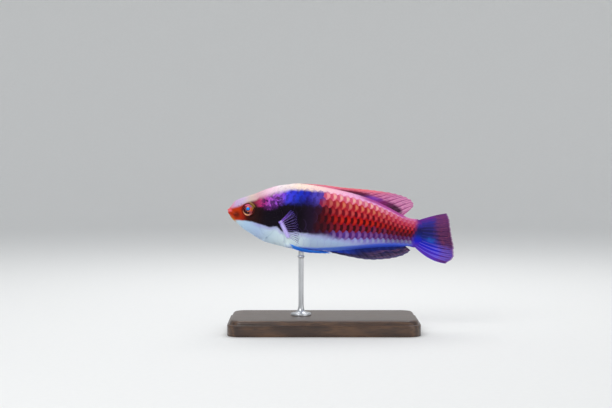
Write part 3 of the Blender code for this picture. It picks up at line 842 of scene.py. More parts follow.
skin = make_skin()
print("skin faces:", len(skin.data.polygons))

# %% [markdown]
# ## Markings
#
# The colours are painted by place, not by picture: each zone of the fish is a mask made from the
# station and height of a point, roughened by noise so that no edge is ruled. Each scale also has
# its own pattern, dark at its root and bright at its free edge, read from the lattice. Skin and
# scales use the same sums, so they carry the same markings. In the sums x is the station and z the
# height, so in soft(x, 24.0, 33.0) a mask rises from 24 to 33 mm behind the snout's tip.

# %% Colours of the fish
ORANGE, ORANGE_DEEP, JAW_HIGHLIGHT = (0.50, 0.034, 0.001), (0.34, 0.012, 0.001), (0.58, 0.24, 0.02)
LIP_PINK, BROWN = (0.88, 0.14, 0.17), (0.045, 0.003, 0.001)
NIGHT, NIGHT_BROWN = (0.004, 0.001, 0.006), (0.018, 0.003, 0.003)
MAGENTA, MAROON = (0.52, 0.020, 0.15), (0.055, 0.0, 0.002)
ROYAL, ROYAL_NIGHT, AZURE = (0.010, 0.028, 0.56), (0.014, 0.006, 0.11), (0.03, 0.16, 0.95)
PEARL, ICE, LAVENDER = (0.62, 0.74, 0.82), (0.46, 0.64, 0.85), (0.36, 0.31, 0.70)
BLUE_EDGE, BLUE_EDGE_REAR, TAIL_BLUE = (0.05, 0.18, 0.88), (0.05, 0.12, 0.80), (0.05, 0.08, 0.68)
FRONT_ROOT, REAR_ROOT, TAIL_ROSE = (0.022, 0.001, 0.006), (0.07, 0.001, 0.014), (0.52, 0.035, 0.13)
# NIGHT_GLINT is the colour of a painted highlight.
NAPE_INK, NIGHT_GLINT, NAVY = (0.050, 0.002, 0.065), (0.08, 0.04, 0.16), (0.006, 0.035, 0.50)
CORNER_SHADE, LID_RUST, BROW_OLIVE = (0.10, 0.006, 0.001), (0.10, 0.006, 0.002), (0.42, 0.22, 0.05)
FOOT_VIOLET, FOOT_PALE = (0.46, 0.30, 1.0), (0.62, 0.53, 1.0)
FRECKLE, SCALE_RIM, FIN_SEAT = (0.50, 0.30, 0.48), (0.30, 0.34, 0.72), (0.42, 0.01, 0.26)


def lattice_cell(start):
    """Along one scale and down across it, both from 0 to 1, the row of the scale counted from the
    back, and a number that is drawn for each scale."""
    column, row, _ = split(start.node("ShaderNodeUVMap", {"uv_map": "lattice"}))
    whole_row = row.maths("FLOOR", row)
    along = column - whole_row.maths("MODULO", whole_row, 2.0) * 0.5
    whole = along.maths("FLOOR", along)
    cell = start.node("ShaderNodeCombineXYZ", None, {0: whole, 1: whole_row})
    luck = start.node("ShaderNodeTexWhiteNoise", {"noise_dimensions": "2D"}, {"Vector": cell})
    down = row.maths("MINIMUM", row, ROWS_AROUND - row)
    own_row = row.maths("MINIMUM", whole_row + 0.5, ROWS_AROUND - 0.5 - whole_row)
    return along - whole, down - own_row + 0.5, own_row, luck


# %% The flank's painted scales
ROW_EDGE = (
    (0.97, 0.40, 0.70), (0.86, 0.20, 0.31), (0.60, 0.040, 0.050), (0.46, 0.006, 0.022),
    (0.42, 0.003, 0.004), (0.20, 0.005, 0.022), (0.17, 0.05, 0.26), (0.28, 0.25, 0.77), ICE,
)
ROW_CENTRE = (
    (0.97, 0.56, 0.78), (0.96, 0.60, 0.44), (0.76, 0.25, 0.12), (0.64, 0.06, 0.065),
    (0.64, 0.018, 0.004), (0.28, 0.012, 0.030), (0.26, 0.11, 0.44), ICE, PEARL,
)
ROW_ROOT = (
    (0.90, 0.32, 0.60), (0.70, 0.09, 0.18), (0.38, 0.008, 0.022), (0.11, 0.001, 0.010),
    (0.020, 0.0, 0.001), (0.010, 0.0, 0.002), (0.075, 0.012, 0.21), (0.24, 0.20, 0.74), ICE,
)
print("rows of scales down each flank:", len(ROW_CENTRE))


def by_row(own_row, colours):
    """The colour of a scale from the row it grows in."""
    stops = [((row + 0.5) / HALF_ROWS, colour) for row, colour in enumerate(colours)]
    return colours_along(own_row / HALF_ROWS, stops)


def paint_flank(x, along, across, own_row, luck, grain):
    """Rows of scales behind the shoulder: cream, rose, red and maroon, each dark at its root."""
    shifted = own_row + (luck - 0.5) * 0.35
    edge, centre, root = (by_row(shifted, c) for c in (ROW_EDGE, ROW_CENTRE, ROW_ROOT))
    spot = 1 - soft(distance(along, across, (0.68, 0.5), 0.62), 0.08, 0.36)
    cream = soft(x, 41.0, 49.0) * soft(x, 74.0, 62.0) * (0.5 + luck * 0.5)
    cream = cream.maths("MAXIMUM", cream, soft(own_row, 2.6, 3.4))
    colour = tint(spot * (0.25 + cream * 0.65), edge, centre)
    lean = (across - 0.5) * 0.3 * soft(own_row, 4.6, 3.2)
    rough = (grain - 0.5) * 0.12
    dark = 1 - soft(distance(along - lean + rough, across, (0.18, 0.5), 0.50), 0.20, 0.34)
    colour = tint(dark * (0.78 + luck * 0.22), colour, root)
    front = soft(x, 51.0, 41.0) * soft(own_row, 1.8, 4.0)
    colour = tint(front * 0.9, colour, FRONT_ROOT)
    rear = soft(x, 58.0, 78.0) * soft(own_row, 2.8, 5.4)
    colour = tint(rear * 0.6, colour, REAR_ROOT)
    colour = tint((1 - luck) * 0.16, colour, MAROON)
    return tint(soft(x, 66.0, 80.0) * soft(own_row, 4.2, 1.6) * 0.6, colour, TAIL_ROSE)


# %% Painted zones
CAP_LINE = (
    (0.6, 1.2), (4.75, 2.9), (8.1, 4.9), (11.75, 6.3), (12.9, 7.6), (16.1, 8.9), (18.9, 10.3),
    (22.0, 11.3), (25.4, 12.6), (29.0, 13.2), (36.5, 13.5), (43.0, 13.8), (53.6, 12.8),
    (64.0, 11.1), (71.0, 8.8), (78.0, 6.6), (84.0, 6.3),
)
BELLY_LINE = (
    (0.5, -4.6), (3.6, -3.7), (7.8, -3.3), (10.4, -3.3), (13.0, -3.7), (15.6, -4.1), (18.3, -4.7),
    (19.8, -4.7), (21.2, -4.2), (22.6, -4.4), (24.0, -5.7), (25.4, -6.0), (32.0, -5.5),
    (42.3, -5.4), (52.6, -6.1), (59.5, -6.2), (66.3, -5.7), (73.0, -5.0), (79.8, -4.7),
)
UPPER_LINE = (
    (0.0, 2.8), (9.0, 2.8), (11.0, 4.3), (12.4, 4.2), (14.0, 3.4), (17.3, 3.2), (19.8, 3.9),
    (22.2, 5.2), (25.7, 7.0), (29.0, 7.6), (33.0, 8.8), (37.0, 8.6), (41.0, 8.3),
)
BLUE_START = 39.2
# The pale band along the back is partly the fish's own pink and partly a painted highlight from the
# light above.
BACK_AND_HIGHLIGHT_COLOURS = [
    (0.0, (0.90, 0.26, 0.28)), (0.03, (0.60, 0.42, 0.68)), (0.06, (0.62, 0.50, 0.70)),
    (0.09, (0.68, 0.54, 0.46)), (0.12, (0.72, 0.44, 0.46)), (0.17, (0.96, 0.64, 0.78)),
    (0.22, (0.90, 0.78, 0.80)), (0.30, (0.96, 0.76, 0.62)), (0.40, (0.96, 0.62, 0.60)),
    (0.50, (0.96, 0.46, 0.68)), (0.60, (0.98, 0.46, 0.84)), (0.70, (0.98, 0.40, 0.86)),
    (0.78, (0.94, 0.46, 0.82)), (0.84, (0.66, 0.10, 0.50)),
]
UPPER_COLOURS = [
    (0.075, ORANGE_DEEP), (0.095, (0.12, 0.006, 0.006)), (0.115, (0.24, 0.010, 0.035)),
    (0.135, MAGENTA), (0.155, (0.50, 0.030, 0.28)), (0.18, (0.48, 0.08, 0.62)),
    (0.215, (0.34, 0.07, 0.66)), (0.25, (0.06, 0.05, 0.80)), (0.30, ROYAL),
    (0.345, (0.02, 0.015, 0.38)), (0.38, (0.09, 0.06, 0.50)), (0.42, (0.12, 0.04, 0.26)),
]
MIDDLE_COLOURS = [
    (0.0, ORANGE), (0.045, ORANGE), (0.065, ORANGE_DEEP), (0.088, BROWN), (0.12, NIGHT_BROWN),
    (0.17, NIGHT), (0.32, NIGHT), (0.37, (0.014, 0.004, 0.020)), (0.41, (0.040, 0.005, 0.018)),
]
BELLY_COLOURS = [
    (0.03, (0.58, 0.74, 0.82)), (0.08, ICE), (0.14, (0.44, 0.57, 0.80)), (0.20, (0.60, 0.75, 0.86)),
    (0.28, (0.78, 0.92, 0.96)), (0.33, (0.70, 0.84, 0.94)), (0.38, (0.46, 0.58, 0.78)),
    (0.50, (0.44, 0.58, 0.86)), (0.58, (0.46, 0.56, 0.92)), (0.66, (0.26, 0.34, 0.90)),
    (0.74, (0.10, 0.17, 0.76)), (0.82, TAIL_BLUE),
]


def outline_of(column):
    """The body's back or belly line from its table, as (station, height) points."""
    return [(row[0], row[column]) for row in BODY_STATIONS if row[0] > 1]


RIDGE_LINE, KEEL_LINE = outline_of(1), outline_of(2)
print("the red flank begins at station, mm:", BLUE_START)

# %% Head, tail root and foot of the pectoral fin


def paint_front(place, x, z, luck, along, across):
    """Head and shoulder: orange, magenta, purple and royal blue above, night below."""
    mottle = cloud(place, 1.15, 3.0, 3.0)
    fine = cloud(place, 2.6, 4.0, 2.0)
    above = z - height_along(x, UPPER_LINE)
    upper = colours_along(x / LINE_SPAN + (cloud(place, 0.5, 5.0) - 0.5) * 0.03, UPPER_COLOURS)
    upper = tint(soft(fine, 0.56, 0.72) * soft(x, 21.0, 25.0) * 0.35, upper, AZURE)
    lump = cloud(place, 0.62, 3.0, 2.0) + (fine - 0.5) * 0.12 + (luck - 0.5) * 0.10 + above * 0.034
    nape = soft(x, 12.6, 15.5) * soft(x, 26.0, 22.0)
    upper = tint(soft(lump, 0.66, 0.56) * nape * 0.86, upper, NAPE_INK)
    root = 1 - soft(along + (across - 0.5) * 0.2 + (fine - 0.5) * 0.5, 0.12, 0.62)
    upper = tint(root * soft(x, 13.0, 19.0) * 0.5, upper, ROYAL_NIGHT)
    middle = colours_along(x / LINE_SPAN + (cloud(place, 0.6, 6.0) - 0.5) * 0.02, MIDDLE_COLOURS)
    # Painted highlight: a violet glint on the free edges of some scales in the dark band.
    painted_glint = soft(along, 0.80, 0.95) * soft(x, 25.0, 31.0) * soft(luck, 0.3, 0.9)
    middle = tint(painted_glint * 0.3, middle, NIGHT_GLINT)
    level = above + (mottle - 0.5) * 2.0 + (luck - 0.5) * 0.8
    width = soft(x, 24.0, 33.0) * 1.8 + 1.2
    return tint(soft(level / width, -1.0, 1.0), middle, upper)


TAIL_STOPS = [
    (0.02, (0.18, 0.02, 0.30)), (0.16, (0.035, 0.025, 0.30)), (0.34, (0.010, 0.006, 0.09)),
    (0.52, (0.006, 0.014, 0.16)), (0.64, (0.010, 0.020, 0.42)), (0.80, (0.012, 0.010, 0.56)),
    (0.97, (0.10, 0.03, 0.46)),
]


def tail_inner(share):
    """The blues at the root of the tail fin, from its upper edge at 0 to its lower edge at 1."""
    return colours_along(share, TAIL_STOPS)


def paint_face(colour, x, z):
    """Pink lip, painted jaw highlight, painted shade at the mouth's corner, dark round the eye."""
    colour = tint(1 - soft(distance(x, z, (0.1, 0.45), 1.3), 0.7, 1.9), colour, LIP_PINK)
    # Painted highlight along the lower edge of the jaw.
    glow = soft(x * 0.62 + z, -0.9, -1.9) * soft(x, 0.2, 1.4) * soft(x, 4.6, 3.0)
    colour = tint(glow * 0.8, colour, JAW_HIGHLIGHT)
    # Painted shade: a dark spot in the corner of the mouth.
    corner = 1 - soft(distance(x, z, (4.0, -1.1), 1.0), 0.4, 2.3)
    colour = tint(corner * 0.82, colour, CORNER_SHADE)
    away = distance(x, z, (EYE_STATION, EYE_LEVEL))
    behind = (1 - soft(away, 2.9, 4.4)) * soft(x, EYE_STATION, EYE_STATION + 1.6)
    colour = tint(behind * 0.9, colour, NIGHT_BROWN)
    lid = (1 - soft(away, 2.7, 3.1)) * soft(away, 2.4, 2.5)
    colour = tint(lid * 0.7, colour, LID_RUST)
    brow = soft(away, 2.65, 2.9) * (1 - soft(away, 3.2, 3.6))
    brow = brow * soft(x - EYE_STATION, -0.2, 0.6) * soft(z - EYE_LEVEL, 1.1, 1.9)
    return tint(brow * 0.6, colour, BROW_OLIVE)


def paint_foot(colour, x, z):
    """The bright violet flesh at the root of the pectoral fin."""
    (x0, z0), (x1, z1) = PECTORAL_ROOT
    length = math.hypot(x1 - x0, z1 - z0)
    ahead, down = (x1 - x0) / length, (z1 - z0) / length
    run = (x - x0) * ahead + (z - z0) * down
    off = (x - x0) * down - (z - z0) * ahead
    near = (1 - soft(off * off, 0.45, 1.3)) * soft(run, -0.4, 0.2)
    near = near * (1 - soft(run, length, length + 1.0))
    return tint(near, colour, tint(soft(run, -0.5, 3.0), FOOT_VIOLET, FOOT_PALE))


# %% The whole body


def paint_body(start):
    """The colour of skin and scales, with the sums that their finish needs: the place, how far
    along its scale each point lies, and the grain."""
    place = in_frame(start)
    x, _, z = split(place)
    along, across, own_row, luck = lattice_cell(start)
    grain = cloud(place, 3.2, 1.0)
    drift = cloud(place, 0.42, 2.0)
    stepped = soft(x, 16.0, 24.0)
    wide = x + (0.5 - along) * 2.2 + (drift - 0.5) * 2.4 + (luck - 0.5) * 2.6
    calm = soft(x, 10.0, 26.0) * 0.6 + 0.4
    high = z + ((drift - 0.5) * 1.4 + (grain - 0.5) * 0.7) * calm + (across - 0.5) * stepped * 0.5
    colour = paint_front(place, x, z, luck, along, across)
    flank = paint_flank(x, along, across, own_row, luck, grain)
    colour = tint(soft(wide - z * 0.22, BLUE_START - 1.6, BLUE_START + 1.4), colour, flank)
    # The pale band along the back: the fish's own pink with a painted highlight of the light from
    # above.
    back = colours_down(x, BACK_AND_HIGHLIGHT_COLOURS)
    freckles = soft(cloud(place, 2.2, 6.0, 3.0), 0.50, 0.66)
    back = tint(freckles * 0.45, back, FRECKLE)
    above = high - height_along(x, CAP_LINE)
    melt = soft(x, 11.0, 15.0) * soft(x, 27.0, 21.0) * 1.1 + 1.0
    colour = tint(soft(above / melt, -0.8, 0.7), colour, back)
    belly = colours_down(x, BELLY_COLOURS)
    below = height_along(x, BELLY_LINE) - high
    rim = soft(along, 0.86, 0.97) * soft(x, 20.0, 30.0) * 0.35
    belly = tint(rim, belly, SCALE_RIM)
    belly = tint((1 - soft(below, 0.2, 2.2)) * soft(x, 9.0, 14.0) * 0.6, belly, LAVENDER)
    keel = height_along(x, KEEL_LINE)
    edge = (1 - soft(z - keel, 0.9, 2.0)) * soft(x, 24.0, 36.0)
    belly = tint(edge * 0.85, belly, tint(soft(x, 46.0, 58.0), BLUE_EDGE, BLUE_EDGE_REAR))
    navy = (1 - soft(z - keel, 0.0, 0.8)) * soft(x, 50.0, 60.0)
    belly = tint(navy * 0.6, belly, NAVY)
    softness = soft(x, 34.0, 46.0) * 0.9 + 0.45
    colour = tint(soft(below / softness, -1.0, 1.0), colour, belly)
    colour = paint_foot(paint_face(colour, x, z), x, z)
    seat = soft(z - height_along(x, RIDGE_LINE), -0.9, -0.2)
    seat = seat * soft(x, 54.0, 62.0) * soft(x, 79.5, 76.5)
    colour = tint(seat * 0.8, colour, FIN_SEAT)
    tail = soft(x + (grain - 0.5) * 2.0 - z * 0.12, 81.5, 84.5)
    inner = tail_inner((CAUDAL_ROOT[0] - z) / (CAUDAL_ROOT[0] - CAUDAL_ROOT[1]))
    return tint(tail, colour, inner), place, along, grain


# %% Finishes of skin and scales
GROWTH_TURN = 40.0


def body_finish(name, relief_height, **constants):
    """Glossy flesh or horn over the painted markings, with pores and fine growth lines."""
    finish, shader, start = begin_finish(name, **constants)
    colour, place, along, grain = paint_body(start)
    pores = cloud(place, 7.0, 8.0, 3.0)
    ridges = sine(along * GROWTH_TURN) * 0.5 + 0.5
    feed(
        shader, Base_Color=colour, Roughness=0.36 + grain * 0.16,
        Normal=bumped(pores * 0.7 + ridges * 0.3, relief_height, 0.5),
    )
    return finish


GLOSS = {"Coat_Weight": 0.05, "Coat_Roughness": 0.12, "Specular_IOR_Level": 0.08}
skin_finish = body_finish("skin", 0.03, **GLOSS)
scale_finish = body_finish("scales", 0.02, **GLOSS)
FLESH_NODES = ("head", "jaw", "gill_cover_left", "gill_cover_right", "trunk", "tail_stem")
settle(skin, skin_finish, "flank", *FLESH_NODES)

# %% [markdown]
# ## Scales
#
# Each scale is a thin rounded plate with its root tucked under the ones before it and its free
# edge lifted. Geometry Nodes could scatter one plate over the skin, but plates cut from the
# skin's own surface bend with it, so here a small grid is laid on the lattice for every scale
# and lifted a little more towards its rear.

# %% One plate on the lattice
PLATE_ALONG, PLATE_ACROSS = 13, 13
PLATE_CENTRE, PLATE_REACH = 0.125, 0.875
PLATE_HALF_HEIGHT = 0.74
PLATE_THICKNESS = 0.05
LIFT_START, LIFT_SLOPE, CROWN = 0.03, 0.14, 0.05
ROOT_ALONG = PLATE_CENTRE - PLATE_REACH
RIM_THINNING = 0.55
TUCK = 0.55
PATCH_SIZE = 0.003


def round_plate():
    """A square grid pressed into a disc: along and across, each from -1 to 1."""
    a, b = np.meshgrid(
        np.linspace(-1, 1, PLATE_ALONG), np.linspace(-1, 1, PLATE_ACROSS), indexing="ij"
    )
    return a * np.sqrt(1 - b * b / 2), b * np.sqrt(1 - a * a / 2)


DISC_ALONG, DISC_ACROSS = round_plate()


def under_cover(x, z):
    """1 where the gill cover lies over the body, fading to 0 behind its edge."""
    return step(gill_edge(z) - x, -0.15, 0.6) * open_slit(z)


def lay_plates(columns, rows, lifts, fineness):
    """Points and maps of the plates rooted at these places of a lattice, which is the body's or,
    with a fineness of 2, one twice as fine for the head."""
    centre, middle = columns[:, None, None], rows[:, None, None] + 0.5
    along = PLATE_CENTRE + PLATE_REACH * DISC_ALONG
    across = PLATE_HALF_HEIGHT * DISC_ACROSS
    last = COLUMNS[-1] - 0.01
    at = np.minimum((centre + along) / fineness, last), (middle + across) / fineness
    station, angle = place_in_lattice(*at)
    points, normals = skin_surface(station, angle, fineness > 1)
    crown = CROWN * (1 - DISC_ALONG ** 2) * (1 - DISC_ACROSS ** 2)
    lift = (LIFT_START + LIFT_SLOPE * (along - ROOT_ALONG) + crown) * lifts[:, None, None]
    if fineness == 1:
        lift = lift - TUCK * under_cover(points[..., 0], points[..., 2])
    rim = np.hypot(DISC_ALONG, DISC_ACROSS)
    thick = PLATE_THICKNESS * (1 - RIM_THINNING * rim ** 6)
    outer = points + normals * lift[..., None]
    inner = points + normals * (lift - thick)[..., None]
    edge = PLATE_CENTRE + PLATE_REACH * np.sqrt(np.maximum(0, 1 - DISC_ACROSS ** 2))
    cell_u = centre + np.clip(along / np.maximum(edge, 0.3), 0.02, 0.98)
    cell_v = middle + np.clip(across, -0.48, 0.48)
    spread = np.broadcast_arrays(DISC_ALONG * PATCH_SIZE / 2, DISC_ACROSS * PATCH_SIZE / 2)
    root = centre / COLUMNS[-1] / fineness, middle / ROWS_AROUND / fineness
    patch = np.stack([root[0] + spread[0], root[1] + spread[1]], -1)
    cells = np.stack(np.broadcast_arrays(cell_u, cell_v), -1)
    return np.stack([outer, inner], 1), np.stack([patch, patch], 1), np.stack([cells, cells], 1)


print("points on a plate:", DISC_ALONG.size)

# %% Which scales grow where
HEAD_LIFT = 0.42
SCALE_SEED, LIFT_LUCK = 16, (0.92, 1.08)
FIRST_COLUMN, LAST_GAP = 3.0, 0.3
FOOT_AHEAD, FOOT_CLEARANCE, EYE_CLEARANCE, SNOUT_BARE = 1.2, 1.9, 4.3, 12.0
LAST_STATION, LOBE_STATION, LOBE_HEIGHT = 87.6, 85.0, 5.2
FREE_EDGE = (-10.8, 7.6)


def roots_of(fineness, wanted):
    """Column, row and lift of every scale of a lattice that is wanted where it would lie."""
    rng = np.random.default_rng(SCALE_SEED)
    found = []
    for row in range(ROWS_AROUND * fineness):
        first = FIRST_COLUMN * fineness + 0.5 * (row % 2)
        columns = np.arange(first, COLUMNS[-1] * fineness - LAST_GAP, 1.0)
        middle = np.full(len(columns), row + 0.5) / fineness
        point = skin_point(*place_in_lattice(columns / fineness, middle))
        rear = skin_point(*place_in_lattice((columns + 1.0) / fineness, middle))
        away = eye_distance(point)
        for k, column in enumerate(columns):
            lift = wanted(point[k], rear[k], away[k])
            if lift > 0:
                found.append((column, row, lift * rng.uniform(*LIFT_LUCK)))
    return np.array(found)


def on_slit(z):
    """Whether the gill cover's edge is free at this height, so that scales may end close to it."""
    return FREE_EDGE[0] < z < FREE_EDGE[1]


def body_scale(point, rear, _):
    """Scales of the body start behind the gill cover and leave the pectoral fin's foot bare."""
    x, _, z = point
    bare = distance_to_line(x + FOOT_AHEAD, z, PECTORAL_ROOT) < FOOT_CLEARANCE
    past_end = rear[0] > LAST_STATION or (rear[0] > LOBE_STATION and abs(rear[2]) > LOBE_HEIGHT)
    ahead = x < gill_edge(z) - (0.2 if on_slit(z) else 1.6)
    return 0.0 if ahead or bare or past_end else 1.0


def head_scale(point, rear, away):
    """Scales of cheek, gill cover and nape. They flatten out towards the bare snout."""
    x, _, z = point
    behind = rear[0] > gill_edge(rear[2]) - (0.3 if on_slit(rear[2]) else -0.6)
    forward = x + 0.35 * abs(z - 1.0)
    if behind or away < EYE_CLEARANCE or forward < SNOUT_BARE:
        return 0.0
    return HEAD_LIFT * float(step(forward, 11.0, 16.0) * 0.8 + 0.2)


ROOTS = {1: roots_of(1, body_scale), 2: roots_of(2, head_scale)}
print("scales on the body and on the head:", [len(roots) for roots in ROOTS.values()])

# %% The coat's pieces
REAR_COLUMN = 21
COAT_SHARP = 60.0
COAT_PIECES = (
    ("scales_head_right", 2, lambda column, row: row < HALF_ROWS * 2),
    ("scales_head_left", 2, lambda column, row: row >= HALF_ROWS * 2),
    ("scales_front_right", 1, lambda column, row: (row < HALF_ROWS) & (column < REAR_COLUMN)),
    ("scales_front_left", 1, lambda column, row: (row >= HALF_ROWS) & (column < REAR_COLUMN)),
    ("scales_rear_right", 1, lambda column, row: (row < HALF_ROWS) & (column >= REAR_COLUMN)),
    ("scales_rear_left", 1, lambda column, row: (row >= HALF_ROWS) & (column >= REAR_COLUMN)),
)


def make_coat(name, fineness, chosen):
    """One joined mesh of the plates that are chosen."""
    rows = ROOTS[fineness]
    rows = rows[chosen(rows[:, 0], rows[:, 1])]
    points, patches, cells = lay_plates(*rows.T, fineness)
    plate = slab_faces(PLATE_ALONG, PLATE_ACROSS)
    size = 2 * PLATE_ALONG * PLATE_ACROSS
    faces = (plate[None] + np.arange(len(rows))[:, None, None] * size).reshape(-1, 4)
    maps = {"OFBake": patches.reshape(-1, 2), "lattice": cells.reshape(-1, 2)}
    return make_mesh(name, to_world(points.reshape(-1, 3)), faces, maps, sharp=COAT_SHARP)


for piece in COAT_PIECES:
    settle(make_coat(*piece), scale_finish, "flank")

# %% [markdown]
# ## Fins
#
# A fin is a thin web of skin carried by rays that fork towards its edge. Rays could be separate
# tubes, but in life web and ray are one surface, so the sheet itself is thick along each ray and
# thin between, with the rays' joints as fine steps. The web dips a little between the tips.

# %% Where the fins' rays run
DORSAL_RAYS, ANAL_RAYS, CAUDAL_RAYS, PECTORAL_RAYS, PELVIC_RAYS = 20, 12, 13, 13, 6
DORSAL_TIPS = (
    (0.0, 29.5, 15.8), (0.1, 37.0, 16.4), (0.3, 49.0, 16.5), (0.5, 61.5, 16.95), (0.7, 73.4, 16.55),
    (0.8, 78.0, 15.6), (0.88, 80.7, 13.9), (0.94, 81.2, 12.2), (1.0, 79.6, 10.0),
)
ANAL_TIPS = (
    (0.0, 48.0, -12.95), (0.2, 56.5, -13.75), (0.4, 64.5, -13.95), (0.6, 72.0, -12.75),
    (0.8, 78.6, -10.6), (0.92, 81.5, -8.7), (1.0, 82.3, -7.5),
)
CAUDAL_TIPS = (
    (0.0, 97.2, 10.6), (0.15, 98.5, 8.1), (0.3, 99.2, 4.7), (0.5, 100.7, -0.4), (0.7, 101.9, -5.0),
    (0.88, 101.9, -8.9), (1.0, 98.9, -11.6),
)
DORSAL_WAVE, ANAL_WAVE = (0.5, 7.0, 0.0), (0.4, 6.0, 1.0)
CAUDAL_BOW, CAUDAL_CURL = (0.5, -1.6), 5.6
PECTORAL_LENGTHS = ((0.0, 11.8), (0.15, 12.3), (0.4, 9.8), (0.7, 8.0), (1.0, 6.2))
PECTORAL_RISE, PECTORAL_SPREAD, PECTORAL_DROOP = (56.0, -12.0), (46.0, 32.0), 0.12
PELVIC_TIPS = ((0.0, 39.0, 1.3, -13.85), (0.5, 44.2, 1.8, -13.4), (1.0, 48.4, 2.4, -12.7))
PELVIC_KNEE = (3.2, -13.95, 0.5)
ROOT_SUNK = 0.7


def wave(shape, u):
    """A sideways wave along a fin, from its reach, turn and start."""
    reach, turn, start = shape
    return reach * np.sin(turn * u + start)


def line_between(first, second, v):
    """Points from the first place, where v is 0, to the second, where v is 1."""
    return first + (second - first) * v[..., None]


# %% Places of the long fins


def dorsal_place(u, v):
    """Places of the back fin: u runs along its root and v out along its rays."""
    station = blend(DORSAL_ROOT, u)
    root = np.stack([station, sweep(station), section(station)[0] - ROOT_SUNK], -1)
    x, z = (smooth(DORSAL_TIPS, column, u) for column in (1, 2))
    tip = np.stack([x, sweep(x) + wave(DORSAL_WAVE, u) * u, z], -1)
    return line_between(root, tip, v)


def anal_place(u, v):
    """Places of the fin under the tail's root."""
    station = blend(ANAL_ROOT, u)
    root = np.stack([station, sweep(station), section(station)[1] + ROOT_SUNK], -1)
    x, z = (smooth(ANAL_TIPS, column, u) for column in (1, 2))
    tip = np.stack([x, sweep(x) + wave(ANAL_WAVE, u), z], -1)
    return line_between(root, tip, v)


def caudal_place(u, v):
    """Places of the tail fin, which swings on with the body. Its upper rays curl to the right."""
    flat = np.zeros(u.shape)
    root = np.stack([flat + BODY_LENGTH, flat, blend(CAUDAL_ROOT, u)], -1)
    x, z = (smooth(CAUDAL_TIPS, column, u) for column in (1, 2))
    point = line_between(root, np.stack([x, flat, z], -1), v)
    curl = CAUDAL_CURL * (1 - u) ** 1.5 * v ** 1.7
    behind = point[..., 0] - BODY_LENGTH
    point[..., 1] = SWEEP + behind * 2 * SWEEP / (BODY_LENGTH - SWEEP_START) + curl
    point[..., 2] += blend(CAUDAL_BOW, u) * 4 * v * (1 - v)
    return point


# %% Places of the paired fins


def pectoral_place(side):
    """Places of a side fin, which fans out from its fleshy foot, up and away from the flank."""

    def place(u, v):
        (x0, z0), (x1, z1) = PECTORAL_ROOT
        station, height = blend((x0, x1), u), blend((z0, z1), u)
        angle = side * angle_at(station, height)
        outward = skin_normal(station, angle)
        rise, spread = (np.radians(blend(pair, u)) for pair in (PECTORAL_RISE, PECTORAL_SPREAD))
        along = np.stack([np.cos(rise), 0 * rise, np.sin(rise)], -1)
        ray = along * np.cos(spread)[..., None] + outward * np.sin(spread)[..., None]
        length = smooth(PECTORAL_LENGTHS, 1, u)
        root = skin_point(station, angle) - ray * ROOT_SUNK
        point = root + ray * ((ROOT_SUNK + length) * v)[..., None]
        point[..., 1] -= side * PECTORAL_DROOP * length * v * v
        return point

    return place


def pelvic_place(side):
    """Places of a belly fin, which leaves the belly, bends at a knee and lies back along it."""

    def place(u, v):
        (x0, y0), (x1, y1) = PELVIC_ROOT
        station, across = blend((x0, x1), u), blend((y0, y1), u)
        _, bottom, half, middle = section(station)
        share = (1 - (across / half) ** BELLY_POWER) ** (1 / BELLY_POWER)
        root = np.stack([station, side * across, middle - (middle - bottom) * share + 1.0], -1)
        x, y, z = (smooth(PELVIC_TIPS, column, u) for column in (1, 2, 3))
        back, level, tilt = PELVIC_KNEE
        knee = np.stack([station + back, side * across, level + tilt * u], -1)
        tip = np.stack([x, side * y, z], -1)
        return line_between(line_between(root, knee, v), line_between(knee, tip, v), v)

    return place


print("tail fin ends at station, mm:", round(float(caudal_place(np.ones(1), np.ones(1))[0, 0]), 1))

# %% The sheet of a fin
RAY_LUCK = 0.018
FIN_SHARP = 70.0


def ray_ridge(u, v, rays, fork, second_fork, width, soft_from):
    """How much of a ray is at each place of the sheet, from 0 in the web to 1 on a crest. Rays fork
    once, and again, but the two at the ends don't, nor do the spines ahead of soft_from."""
    count = u * (rays - 1)
    nearest = np.round(count)
    inner = (nearest > 0) & (nearest < rays - 1) & (nearest >= soft_from)
    first = 0.25 * np.clip((v - fork) / (0.95 - fork), 0, 1) * inner
    second = 0.125 * np.clip((v - second_fork) / (1.001 - second_fork), 0, 1) * inner
    width = width * (1.25 - 0.5 * v)
    ridge = np.zeros(u.shape)
    for side in (-1, 1):
        for part in (-1, 1):
            away = count - nearest - side * first - part * second
            ridge = np.maximum(ridge, np.exp(-((away / width) ** 2)))
    return ridge


